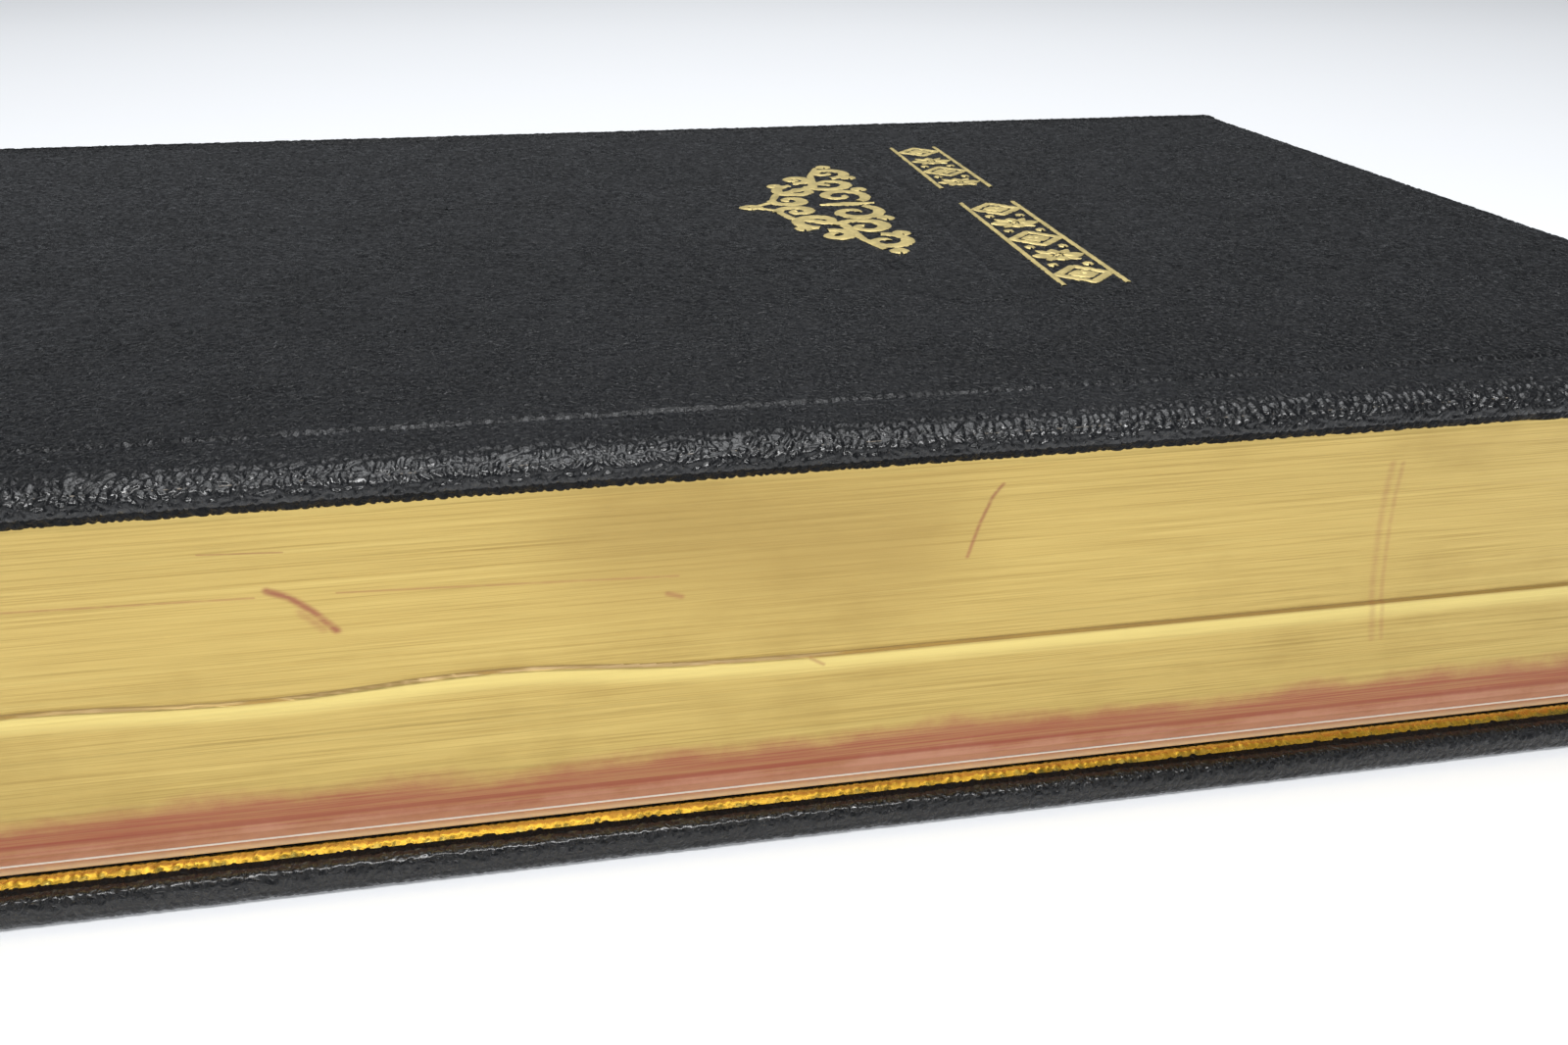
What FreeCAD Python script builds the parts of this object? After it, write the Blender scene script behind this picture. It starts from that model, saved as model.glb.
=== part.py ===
"""A leather-bound bible, closed and lying on its back cover.

Frame: X runs from the spine (-X) to the fore-edge (+X), Y from the foot to the head (+Y), Z is up.
The origin is the centre of the book's base. Lengths are millimetres.

The book is a case (two boards, their leather, a spine strip) around a sewn text block.
Both covers turn about the leather joints beside the spine, and the loose leaves next to each cover turn
about the line where they are tipped to the block.
"""
import FreeCAD, Part

import os

import Sketcher

doc = FreeCAD.newDocument("Bible")

# ---------------------------------------------------------------------------------------------------------
# Driving dimensions
# ---------------------------------------------------------------------------------------------------------
SIZES = [
    ("cover_length", 243.0, "cover, foot to head"),
    ("page_width", 146.0, "leaf, fold to fore-edge"),
    ("overhang", 4.2, "square: how far a cover passes the leaves on three sides"),
    ("page_corner", 7.0, "radius of the leaves' fore-edge corners"),
    ("cover_corner", 9.0, "radius of the covers' fore-edge corners"),
    ("board_thick", 2.0, "cover board"),
    ("leather_thick", 0.9, "cover leather, outside"),
    ("turn_in_thick", 0.7, "leather pared thin and turned in over the board"),
    ("turn_in_width", 9.0, "turn-in left showing inside the cover"),
    ("rim_round", 2.0, "rounding of a cover's outer rim"),
    ("inner_round", 1.1, "rounding of a cover's inner rim"),
    ("pastedown_thick", 0.15, "endpaper half pasted to the board"),
    ("cover_gap", 0.15, "air between a cover and the leaves"),
    ("section_thick", 1.81, "one sewn section"),
    ("section_count", 20, "sewn sections"),
    ("fold_share", 0.49, "rounding of a fold, as a share of its section's thickness"),
    ("leaf_thick", 0.25, "one loose group of leaves"),
    ("front_leaf_count", 5, "loose groups before the first section"),
    ("back_leaf_count", 3, "loose groups after the last section"),
    ("flyleaf_thick", 0.2, "free endpaper"),
    ("gutter", 5.0, "margin of the loose leaves tipped to the block"),
    ("leaf_gap", 0.05, "air between the loose leaves, their margin and the sewn sections"),
    ("shelf_step", 0.3, "how far the lower sections stand out at the fore-edge"),
    ("shelf_section", 12, "first section, from the top, that stands out"),
    ("spine_round", 2.5, "height of the spine's arc, and hollow of the fore-edge"),
    ("glue_thick", 0.05, "glue between the folds and what lies on them"),
    ("tape_thick", 0.25, "sewing tape"),
    ("tape_width", 12.0, "sewing tape"),
    ("tape_pitch", 62.0, "between sewing tapes"),
    ("mull_thick", 0.25, "open cloth glued over the tapes"),
    ("lining_thick", 0.3, "kraft paper lining"),
    ("tube_thick", 0.3, "hollow tube of kraft paper"),
    ("stiffener_thick", 0.5, "card strip inside the spine leather"),
    ("thread_radius", 0.17, "sewing thread"),
    ("thread_gap", 0.03, "between the thread and the folds"),
    ("stitch_length", 9.0, "thread seen at one sewing station"),
    ("headband_radius", 1.1, "core of a headband"),
    ("headband_skirt", 9.0, "headband cloth glued down the spine"),
    ("spine_end_margin", 6.0, "mull and linings stop short of the head and foot"),
    ("joint_gap", 5.0, "shoulder to board"),
    ("joint_depth", 0.5, "groove pressed along the joint"),
    ("joint_slope", 1.5, "width of each side of the groove"),
    ("joint_land", 1.5, "flat leather between the groove and the spine"),
    ("joint_round", 0.6, "rounding of the spine's corner"),
    ("hinge_cloth_thick", 0.3, "mull flange across the joint"),
    ("crease_inset", 8.1, "blind line along the fore-edge, in from the rim"),
    ("crease_width", 0.8, "blind line"),
    ("crease_depth", 0.3, "blind line"),
    ("foil_thick", 0.05, "gold foil"),
    ("gilt_inset", 2.2, "gold line on the turn-ins, in from the rim"),
    ("gilt_width", 2.4, "gold line on the turn-ins"),
    ("band_from_head", 73.5, "middle of the gold band on the front cover"),
    ("band_off_middle", 8.8, "middle of the gold band, from the cover's middle towards the spine"),
    ("band_pitch", 8.7, "between the band's lozenges"),
    ("lozenge_radius", 4.3, "half the height of a lozenge"),
    ("rule_from_head", 83.5, "blind rule under the band"),
    ("rule_off_middle", 3.4, "middle of the blind rule, from the cover's middle"),
    ("rule_length", 79.0, "blind rule"),
    ("ornament_from_head", 98.5, "middle of the ornament"),
    ("ornament_off_middle", 10.4, "middle of the ornament, from the cover's middle"),
    ("ornament_radius", 7.5, "the ornament's middle boss"),
    ("ornament_pitch", 9.6, "between the ornament's bosses"),
]
sizes = doc.addObject("Spreadsheet::Sheet", "Sizes")
for row, (alias, value, note) in enumerate(SIZES, start=1):
    sizes.set(f"A{row}", alias)
    sizes.set(f"B{row}", str(value))
    sizes.setAlias(f"B{row}", alias)
    sizes.set(f"C{row}", note)

# What follows from them, in one place, so that pieces that meet use the same value.
DERIVED = [
    ("cover_thick", "Sizes.leather_thick + Sizes.board_thick + Sizes.turn_in_thick"),
    ("sewn_height", "Sizes.section_count * Sizes.section_thick"),
    ("front_loose", "Sizes.flyleaf_thick + Sizes.front_leaf_count * Sizes.leaf_thick + Sizes.leaf_gap"),
    ("back_loose", "Sizes.flyleaf_thick + Sizes.back_leaf_count * Sizes.leaf_thick + Sizes.leaf_gap"),
    ("block_height", "sewn_height + front_loose + back_loose"),
    ("block_base", "cover_thick + Sizes.cover_gap"),
    ("block_top", "block_base + block_height"),
    ("sewn_base", "block_base + back_loose"),
    ("book_height", "block_top + Sizes.cover_gap + cover_thick"),
    ("mid_z", "book_height / 2"),
    ("page_length", "Sizes.cover_length - 2 * Sizes.overhang"),
    ("half_block", "block_height / 2"),
    ("fold_radius", "(half_block ^ 2 + Sizes.spine_round ^ 2) / (2 * Sizes.spine_round)"),
    ("tape_at", "Sizes.glue_thick"),
    ("mull_at", "tape_at + Sizes.tape_thick"),
    ("lining_at", "mull_at + Sizes.mull_thick"),
    ("tube_at", "lining_at + Sizes.lining_thick"),
    ("stiffener_at", "tube_at + Sizes.tube_thick"),
    ("leather_at", "stiffener_at + Sizes.stiffener_thick"),
    ("spine_stack", "leather_at + Sizes.leather_thick"),
    ("book_width", "Sizes.overhang + Sizes.page_width + Sizes.spine_round + spine_stack"),
    ("fore_x", "book_width / 2"),
    ("shoulder_x", "fore_x - Sizes.overhang - Sizes.page_width"),
    ("arc_x", "shoulder_x + fold_radius - Sizes.spine_round"),
    ("board_x", "shoulder_x + Sizes.joint_gap"),
    ("cover_width", "fore_x - board_x"),
    ("cover_middle", "(fore_x + board_x) / 2"),
    ("spine_leather_half", "mid_z - Sizes.leather_thick"),
    (
        "spine_edge_x",
        "arc_x - sqrt((fold_radius + spine_stack) ^ 2 - spine_leather_half ^ 2)",
    ),
    ("lining_length", "page_length - 2 * Sizes.spine_end_margin"),
    ("head_y", "Sizes.cover_length / 2"),
    ("hinge_x", "(spine_edge_x + board_x) / 2"),
    ("leaf_x", "shoulder_x + Sizes.gutter + Sizes.leaf_gap"),
]
derived = doc.addObject("Spreadsheet::Sheet", "Derived")
for row, (alias, formula) in enumerate(DERIVED, start=1):
    derived.set(f"A{row}", alias)
    derived.set(f"B{row}", "=" + formula)
    derived.setAlias(f"B{row}", alias)
doc.recompute()

SECTIONS = int(sizes.section_count)
FRONT_LEAVES = int(sizes.front_leaf_count)
BACK_LEAVES = int(sizes.back_leaf_count)
FRONT, BACK = "front", "back"
kept = []  # the sub-parts to write, each with a Label of its own


def keep(piece, label):
    """Names a finished sub-part, which is then written to its own file."""
    piece.Label = label
    kept.append(piece)
    return piece


def bind(piece, **expressions):
    """Binds properties to expressions; x, y and z mean the placement's base."""
    for name, expression in expressions.items():
        path = f".Placement.Base.{name}" if name in ("x", "y", "z") else name
        piece.setExpression(path, str(expression))
    return piece


# ---------------------------------------------------------------------------------------------------------
# Building blocks
# ---------------------------------------------------------------------------------------------------------
def origin_plane(body, role):
    return next(f for f in body.Origin.OriginFeatures if f.Role == role)


def outline_sketch(body, points, plane):
    """A closed outline on one of the body's own planes; each corner's two coordinates are bound."""
    sketch = body.newObject("Sketcher::SketchObject", body.Name + "_outline")
    sketch.AttachmentSupport = (origin_plane(body, plane), [""])
    sketch.MapMode = "FlatFace"
    values = [tuple(float(doc.Sizes.evalExpression(c)) for c in p) for p in points]
    count = len(points)
    for i, (u, v) in enumerate(values):
        u2, v2 = values[(i + 1) % count]
        start, end = FreeCAD.Vector(u, v, 0), FreeCAD.Vector(u2, v2, 0)
        sketch.addGeometry(Part.LineSegment(start, end), False)
    for i in range(count):
        sketch.addConstraint(Sketcher.Constraint("Coincident", i, 2, (i + 1) % count, 1))
    for i, (u, v) in enumerate(points):
        for kind, expression, value in (("DistanceX", u, values[i][0]), ("DistanceY", v, values[i][1])):
            index = sketch.addConstraint(Sketcher.Constraint(kind, -1, 1, i, 1, value))
            sketch.renameConstraint(index, f"{kind}{i}")
            sketch.setExpression(f"Constraints.{kind}{i}", expression)
    return sketch


def pad(label, points, length, plane="XY_Plane", midplane=False):
    """A body: an outline padded by a bound length."""
    body = doc.addObject("PartDesign::Body", label)
    sketch = outline_sketch(body, points, plane)
    feature = body.newObject("PartDesign::Pad", label + "_pad")
    feature.Profile = sketch
    feature.Midplane = midplane
    feature.setExpression("Length", length)
    sketch.Visibility = False
    doc.recompute()
    return body


def round_edges(body, radius, wanted):
    """Rounds the edges of the body for which wanted(box, edge) holds; box is the edge's bounding box."""
    base = body.Tip
    shape = base.Shape
    names = [f"Edge{i}" for i, e in enumerate(shape.Edges, 1) if wanted(e.BoundBox, shape.BoundBox)]
    feature = body.newObject("PartDesign::Fillet", body.Name + "_round")
    feature.Base = (base, names)
    feature.setExpression("Radius", radius)
    body.Tip = feature
    doc.recompute()
    return body


NEAR = 1e-4  # how close two coordinates of the same edge come


def upright_at_fore_edge(edge, whole):
    return edge.ZLength > whole.ZLength - NEAR and edge.XMin > whole.XMax - NEAR and edge.YLength < NEAR


def along_fold(edge, whole):
    return edge.XMax < whole.XMin + NEAR and edge.YLength > whole.YLength / 2


def spine_corner(edge, whole):
    return edge.XMax < whole.XMin + NEAR and edge.ZMax < whole.ZMin + NEAR


def rim_at(level):
    """Edges round the rim at the top or base, without the one on the spine side."""

    def wanted(edge, whole):
        height = whole.ZMax if level == "top" else whole.ZMin
        flat = edge.ZLength < NEAR and abs(edge.ZMin - height) < NEAR
        return flat and edge.XMax > whole.XMin + NEAR

    return wanted


def plate(label, width, length, thick, corner=None):
    """A flat sheet from x = 0 outwards, centred on Y, with its fore-edge corners rounded."""
    half = f"({length}) / 2"
    body = pad(label, [("0", f"-{half}"), (width, f"-{half}"), (width, half), ("0", half)], thick)
    if corner:
        round_edges(body, corner, upright_at_fore_edge)
    return body


def box(label, x, y, z, width, length, height):
    """A plain block with every size and place bound."""
    block = doc.addObject("Part::Box", label)
    bind(block, Length=width, Width=length, Height=height, x=x, y=y, z=z)
    return block


def cut(label, base, tool):
    """base without tool."""
    result = doc.addObject("Part::Cut", label)
    result.Base, result.Tool = base, tool
    doc.recompute()
    return result


ALONG_Y = FreeCAD.Rotation(FreeCAD.Vector(1, 0, 0), -90)


def spine_cylinder(label, radius, length):
    """A cylinder along Y about the centre of the spine's arc."""
    cylinder = doc.addObject("Part::Cylinder", label)
    cylinder.Placement = FreeCAD.Placement(FreeCAD.Vector(), ALONG_Y)
    bind(cylinder, Radius=radius, Height=length, x="Derived.arc_x", z="Derived.mid_z")
    return cylinder


def spine_shell(label, start, thick, length, half_height, y_middle="0"):
    """A curved strip over the spine, from start outside the folds."""
    foot = f"{y_middle} - ({length}) / 2"
    outer = spine_cylinder(label + "_outer", f"Derived.fold_radius + {start} + {thick}", length)
    inner = spine_cylinder(label + "_inner", f"Derived.fold_radius + {start}", length)
    for cylinder in (outer, inner):
        bind(cylinder, y=foot)
    ring = cut(label + "_ring", outer, inner)
    reach = f"(Derived.fold_radius + {start} + {thick})"
    band = box(
        label + "_band",
        f"Derived.arc_x - {reach} - 1",
        foot,
        f"Derived.mid_z - ({half_height})",
        reach,
        length,
        f"2 * ({half_height})",
    )
    shell = doc.addObject("Part::Common", label)
    shell.Base, shell.Tool = ring, band
    doc.recompute()
    return shell


# ---------------------------------------------------------------------------------------------------------
# The case
# ---------------------------------------------------------------------------------------------------------
TURNED_OVER = FreeCAD.Rotation(FreeCAD.Vector(1, 0, 0), 180)


def set_on(piece, side, x, height):
    """Sets a piece built upwards from z = 0 at a height inside the back cover, or its mirror in the front."""
    if side == BACK:
        return bind(piece, x=x, z=height)
    piece.Placement = FreeCAD.Placement(FreeCAD.Vector(), TURNED_OVER)
    return bind(piece, x=x, z=f"Derived.book_height - ({height})")


def frame_tool(label, inset, width, height):
    """A three-sided rounded frame, open towards the spine, inset from a cover's rim."""
    outer = plate(
        label + "_outer",
        f"Derived.cover_width - {inset}",
        f"Sizes.cover_length - 2 * {inset}",
        height,
        f"Sizes.cover_corner - {inset}",
    )
    inner = plate(
        label + "_inner",
        f"Derived.cover_width - {inset} - {width}",
        f"Sizes.cover_length - 2 * {inset} - 2 * {width}",
        height,
        f"Sizes.cover_corner - {inset} - {width}",
    )
    return cut(label, outer, inner)


def crease_tool(side):
    """The blind line pressed into the leather along the fore-edge."""
    return box(
        f"{side}_crease",
        "Derived.fore_x - Sizes.crease_inset - Sizes.crease_width",
        "-Derived.head_y",
        "0" if side == BACK else "Derived.book_height - Sizes.crease_depth",
        "Sizes.crease_width",
        "Sizes.cover_length",
        "Sizes.crease_depth",
    )


def make_board(side):
    board = plate(
        f"{side}_board",
        "Derived.cover_width - Sizes.leather_thick",
        "Sizes.cover_length - 2 * Sizes.leather_thick",
        "Sizes.board_thick",
        "Sizes.cover_corner - Sizes.leather_thick",
    )
    return keep(set_on(board, side, "Derived.board_x", "Sizes.leather_thick"), f"{side}_board")


def make_infill_and_pastedown(side):
    """The card that levels the inside of the cover with the turn-ins, and the endpaper pasted over it."""
    width = "Derived.cover_width - Sizes.turn_in_width"
    length = "Sizes.cover_length - 2 * Sizes.turn_in_width"
    over_board = "Sizes.leather_thick + Sizes.board_thick"
    card = "(Sizes.turn_in_thick - Sizes.pastedown_thick)"
    infill = plate(f"{side}_infill", width, length, card)
    keep(set_on(infill, side, "Derived.board_x", over_board), f"{side}_board_infill")
    paper = plate(f"{side}_paper", width, length, "Sizes.pastedown_thick")
    keep(set_on(paper, side, "Derived.board_x", f"{over_board} + {card}"), f"{side}_pastedown")


def make_cover_leather(side, board, inlays=()):
    """One cover's leather: over the board, round its rim and turned in on three sides."""
    blank = plate(
        f"{side}_leather_blank",
        "Derived.cover_width",
        "Sizes.cover_length",
        "Derived.cover_thick",
        "Sizes.cover_corner",
    )
    round_edges(blank, "Sizes.rim_round", rim_at("base"))
    round_edges(blank, "Sizes.inner_round", rim_at("top"))
    set_on(blank, side, "Derived.board_x", "0")
    window = plate(
        f"{side}_window",
        "Derived.cover_width - Sizes.turn_in_width",
        "Sizes.cover_length - 2 * Sizes.turn_in_width",
        "Sizes.turn_in_thick",
    )
    set_on(window, side, "Derived.board_x", "Sizes.leather_thick + Sizes.board_thick")
    leather = blank
    for number, tool in enumerate([board, window, crease_tool(side), *inlays]):
        leather = cut(f"{side}_leather_{number}", leather, tool)
    return keep(leather, f"{side}_cover_leather")


def make_gilt_line(side):
    """The gold line tooled on the turn-ins."""
    line = frame_tool(f"{side}_gilt", "Sizes.gilt_inset", "Sizes.gilt_width", "Sizes.foil_thick")
    keep(set_on(line, side, "Derived.board_x", "Derived.cover_thick"), f"{side}_gilt_line")


def make_joint(side):
    """The flexible leather between a cover and the spine, with its groove, and the mull flange under it."""
    start = "(Derived.board_x - Derived.spine_edge_x)"
    land, slope, depth = "Sizes.joint_land", "Sizes.joint_slope", "Sizes.joint_depth"
    outer = [
        ("0", "0"),
        (land, "0"),
        (f"{land} + {slope}", depth),
        (f"{start} - {slope}", depth),
        (start, "0"),
    ]
    inner = [(u, f"{v} + Sizes.leather_thick") for u, v in reversed(outer)]
    joint = pad(f"{side}_joint", outer + inner, "Sizes.cover_length", plane="XZ_Plane", midplane=True)
    round_edges(joint, "Sizes.joint_round", spine_corner)
    keep(set_on(joint, side, "Derived.spine_edge_x", "0"), f"{side}_joint_leather")
    cloth = plate(
        f"{side}_cloth",
        "Sizes.joint_gap - 2 * Sizes.cover_gap",
        "Derived.lining_length",
        "Sizes.hinge_cloth_thick",
    )
    height = "Sizes.joint_depth + Sizes.leather_thick + Sizes.cover_gap"
    set_on(cloth, side, "Derived.shoulder_x + Sizes.cover_gap", height)
    keep(cloth, f"{side}_hinge_cloth")


def group(label, members):
    compound = doc.addObject("Part::Compound", label)
    compound.Links = members
    doc.recompute()
    return compound


BAND_PLACES = [-4.5, -3.5, -2.5, -1.5, 0.5, 1.5, 2.5, 3.5, 4.5]  # in pitches; a gap after the fourth


def make_band():
    """The row of gold lozenges stamped across the front cover, level with the leather."""
    lozenges = []
    for number, place in enumerate(BAND_PLACES):
        lozenge = doc.addObject("Part::Prism", f"lozenge_{number}")
        lozenge.Polygon = 4
        bind(
            lozenge,
            Circumradius="Sizes.lozenge_radius",
            Height="Sizes.foil_thick",
            x=f"Derived.cover_middle - Sizes.band_off_middle + {place} * Sizes.band_pitch",
            y="Derived.head_y - Sizes.band_from_head",
            z="Derived.book_height - Sizes.foil_thick",
        )
        lozenges.append(lozenge)
    return keep(group("band", lozenges), "title_band_foil")


# Each boss of the ornament: place along in pitches, place up and radius in shares of the middle boss.
ORNAMENT = [(0, 0, 1.0), (-1.2, 0.3, 0.75), (1.2, 0.3, 0.75), (-2.4, 0.5, 0.6), (2.4, 0.5, 0.6), (0, -1.2, 0.45)]


def make_ornament():
    """The gold ornament stamped under the band: a row of round bosses and a pendant."""
    bosses = []
    for number, (along, up, share) in enumerate(ORNAMENT):
        boss = doc.addObject("Part::Cylinder", f"boss_{number}")
        bind(
            boss,
            Radius=f"{share} * Sizes.ornament_radius",
            Height="Sizes.foil_thick",
            x=f"Derived.cover_middle - Sizes.ornament_off_middle + {along} * Sizes.ornament_pitch",
            y=f"Derived.head_y - Sizes.ornament_from_head + {up} * Sizes.ornament_radius",
            z="Derived.book_height - Sizes.foil_thick",
        )
        bosses.append(boss)
    ornament = doc.addObject("Part::MultiFuse", "ornament")
    ornament.Shapes = bosses
    ornament.Refine = True
    doc.recompute()
    return keep(ornament, "ornament_foil")


def rule_tool():
    """The blind rule pressed under the band."""
    return box(
        "rule",
        "Derived.cover_middle - Sizes.rule_off_middle - Sizes.rule_length / 2",
        "Derived.head_y - Sizes.rule_from_head - Sizes.crease_width / 2",
        "Derived.book_height - Sizes.crease_depth",
        "Sizes.rule_length",
        "Sizes.crease_width",
        "Sizes.crease_depth",
    )


def make_case():
    inlays = {FRONT: [make_band(), make_ornament(), rule_tool()], BACK: []}
    for side in (FRONT, BACK):
        board = make_board(side)
        make_cover_leather(side, board, inlays[side])
        make_infill_and_pastedown(side)
        make_gilt_line(side)
        make_joint(side)
    leather = spine_shell(
        "spine_skin",
        "Derived.leather_at",
        "Sizes.leather_thick",
        "Sizes.cover_length",
        "Derived.spine_leather_half",
    )
    keep(leather, "spine_leather")
    stiffener = spine_shell(
        "stiffener",
        "Derived.stiffener_at",
        "Sizes.stiffener_thick",
        "Sizes.cover_length - 4 * Sizes.leather_thick",
        "Derived.half_block",
    )
    keep(stiffener, "spine_stiffener")


# ---------------------------------------------------------------------------------------------------------
# The text block
# ---------------------------------------------------------------------------------------------------------
def fold_shift(height_share):
    """How far the fold of a piece at this share of the sewn height (0 to 1) stands out on the spine's arc."""
    off_middle = f"(Derived.sewn_base + {height_share} * Derived.sewn_height - Derived.mid_z)"
    arc = f"sqrt(Derived.fold_radius ^ 2 - {off_middle} ^ 2)"
    return f"({arc} - Derived.fold_radius + Sizes.spine_round)"


def make_sections():
    """The sewn sections, numbered from the front, each folded at the spine and set on the spine's arc."""
    for number in range(1, SECTIONS + 1):
        below = SECTIONS - number
        stands_out = "Sizes.shelf_step" if number >= int(sizes.shelf_section) else "0"
        section = plate(
            f"section_{number}",
            f"Sizes.page_width + {stands_out}",
            "Derived.page_length",
            "Sizes.section_thick",
            "Sizes.page_corner",
        )
        round_edges(section, "Sizes.fold_share * Sizes.section_thick", along_fold)
        share = (below + 0.5) / SECTIONS
        height = f"Derived.sewn_base + {below} * Sizes.section_thick"
        bind(section, x=f"Derived.shoulder_x - {fold_shift(share)}", z=height)
        keep(section, f"section_{number:02d}")


def make_loose_leaves(side, count):
    """The loose leaf groups beside one cover, its flyleaf, and the margins that tip them to the block."""
    out_to_cover = "Derived.block_base" if side == BACK else "Derived.block_top"
    width = "Sizes.page_width - Sizes.gutter - Sizes.leaf_gap"
    loose = f"Derived.{side}_loose"
    heights = [(f"{side}_flyleaf", "Sizes.flyleaf_thick", "0")]
    for number in range(1, count + 1):
        start = f"Sizes.flyleaf_thick + {number - 1} * Sizes.leaf_thick"
        heights.append((f"{side}_leaf_{number}", "Sizes.leaf_thick", start))
    for label, thick, start in heights:
        leaf = plate(label + "_sheet", width, "Derived.page_length", thick, "Sizes.page_corner")
        height = f"{out_to_cover} + {start}" if side == BACK else f"{out_to_cover} - ({start}) - {thick}"
        keep(bind(leaf, x="Derived.leaf_x", z=height), label)
    margin = plate(f"{side}_margin", "Sizes.gutter", "Derived.page_length", loose)
    height = out_to_cover if side == BACK else f"{out_to_cover} - {loose}"
    keep(bind(margin, x="Derived.shoulder_x", z=height), f"{side}_tipped_margin")


def make_spine_linings():
    half = "Derived.half_block"
    tapes = []
    for place in (-1, 0, 1):
        tapes.append(
            spine_shell(
                f"tape_{place + 1}",
                "Derived.tape_at",
                "Sizes.tape_thick",
                "Sizes.tape_width",
                half,
                f"{place} * Sizes.tape_pitch",
            )
        )
    keep(group("tapes", tapes), "sewing_tapes")
    for label, start, thick in (
        ("mull", "Derived.mull_at", "Sizes.mull_thick"),
        ("spine_lining", "Derived.lining_at", "Sizes.lining_thick"),
        ("hollow_tube", "Derived.tube_at", "Sizes.tube_thick"),
    ):
        keep(spine_shell(label + "_strip", start, thick, "Derived.lining_length", half), label)


def make_headbands():
    """Each end's headband: a round core across the spine, with its cloth glued down the folds."""
    radius = "Sizes.headband_radius"
    half = f"(Derived.half_block - {radius})"
    for label, end in (("head", 1), ("tail", -1)):
        core_y = f"{end} * (Derived.page_length / 2 + {radius})"
        skirt = spine_shell(
            f"{label}_skirt",
            "Derived.tape_at",
            "Sizes.tape_thick",
            f"Sizes.headband_skirt + {radius}",
            half,
            f"{core_y} - {end} * (Sizes.headband_skirt + {radius}) / 2",
        )
        core = doc.addObject("Part::Torus", f"{label}_core")
        core.Placement = FreeCAD.Placement(FreeCAD.Vector(), ALONG_Y)
        bind(core, Radius1=f"Derived.fold_radius + Derived.mull_at - {radius}", Radius2=radius)
        bind(core, x="Derived.arc_x", y=core_y, z="Derived.mid_z")
        reach = box(
            f"{label}_reach",
            f"Derived.arc_x - Derived.fold_radius - 2 * {radius}",
            f"{core_y} - 2 * {radius}",
            f"Derived.mid_z - {half}",
            "Derived.fold_radius",
            f"4 * {radius}",
            f"2 * {half}",
        )
        bead = doc.addObject("Part::Common", f"{label}_bead")
        bead.Base, bead.Tool = core, reach
        whole = doc.addObject("Part::Fuse", f"{label}_band")
        whole.Base, whole.Tool = bead, skirt
        doc.recompute()
        keep(whole, f"{label}band")


STITCH_PLACES = (-1.5, -0.5, 0.5, 1.5)  # sewing stations between and beyond the tapes, in tape pitches


def arc_depth(height):
    """How far the spine's arc lies in from its middle at a height."""
    off_middle = height - derived.mid_z
    return derived.fold_radius - (derived.fold_radius**2 - off_middle**2) ** 0.5


def make_thread():
    """Sewing thread: short runs lying in the valleys between neighbouring folds, at each sewing station."""
    radius, length = sizes.thread_radius, sizes.stitch_length
    fold, half_section = sizes.fold_share * sizes.section_thick, sizes.section_thick / 2
    valley = fold - ((fold + radius + sizes.thread_gap) ** 2 - half_section**2) ** 0.5
    runs = []
    for below in range(1, SECTIONS):
        height = derived.sewn_base + below * sizes.section_thick
        outer_fold = min(arc_depth(height - half_section), arc_depth(height + half_section))
        x = derived.shoulder_x - sizes.spine_round + outer_fold + valley
        for place in STITCH_PLACES:
            start = FreeCAD.Vector(x, place * sizes.tape_pitch - length / 2, height)
            runs.append(Part.makeCylinder(radius, length, start, FreeCAD.Vector(0, 1, 0)))
    thread = doc.addObject("Part::Feature", "thread")
    thread.Shape = Part.makeCompound(runs)
    keep(thread, "sewing_thread")


def make_block():
    make_sections()
    make_loose_leaves(FRONT, FRONT_LEAVES)
    make_loose_leaves(BACK, BACK_LEAVES)
    make_spine_linings()
    make_headbands()
    make_thread()


def check_and_write():
    """Stops on any failed object or bad shape, then writes each sub-part to its own file."""
    doc.recompute()
    for piece in doc.Objects:
        if {"Invalid", "Error"} & set(piece.State):
            raise RuntimeError(f"{piece.Name} failed: {piece.State}")
    os.makedirs("parts", exist_ok=True)
    for piece in kept:
        shape = piece.Shape
        if shape.isNull() or not shape.isValid() or not shape.Solids:
            raise RuntimeError(f"{piece.Label} has no valid solid")
        shape.exportStep(f"parts/{piece.Label}.step")


make_case()
make_block()
check_and_write()
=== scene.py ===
"""Looks of a leather-bound bible: pebbled black leather, gilt leaf edges, gold stamping.

Lengths are millimetres until a mesh is made. X runs from spine to fore-edge, Y from foot to head, Z up.
"""

import math

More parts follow.
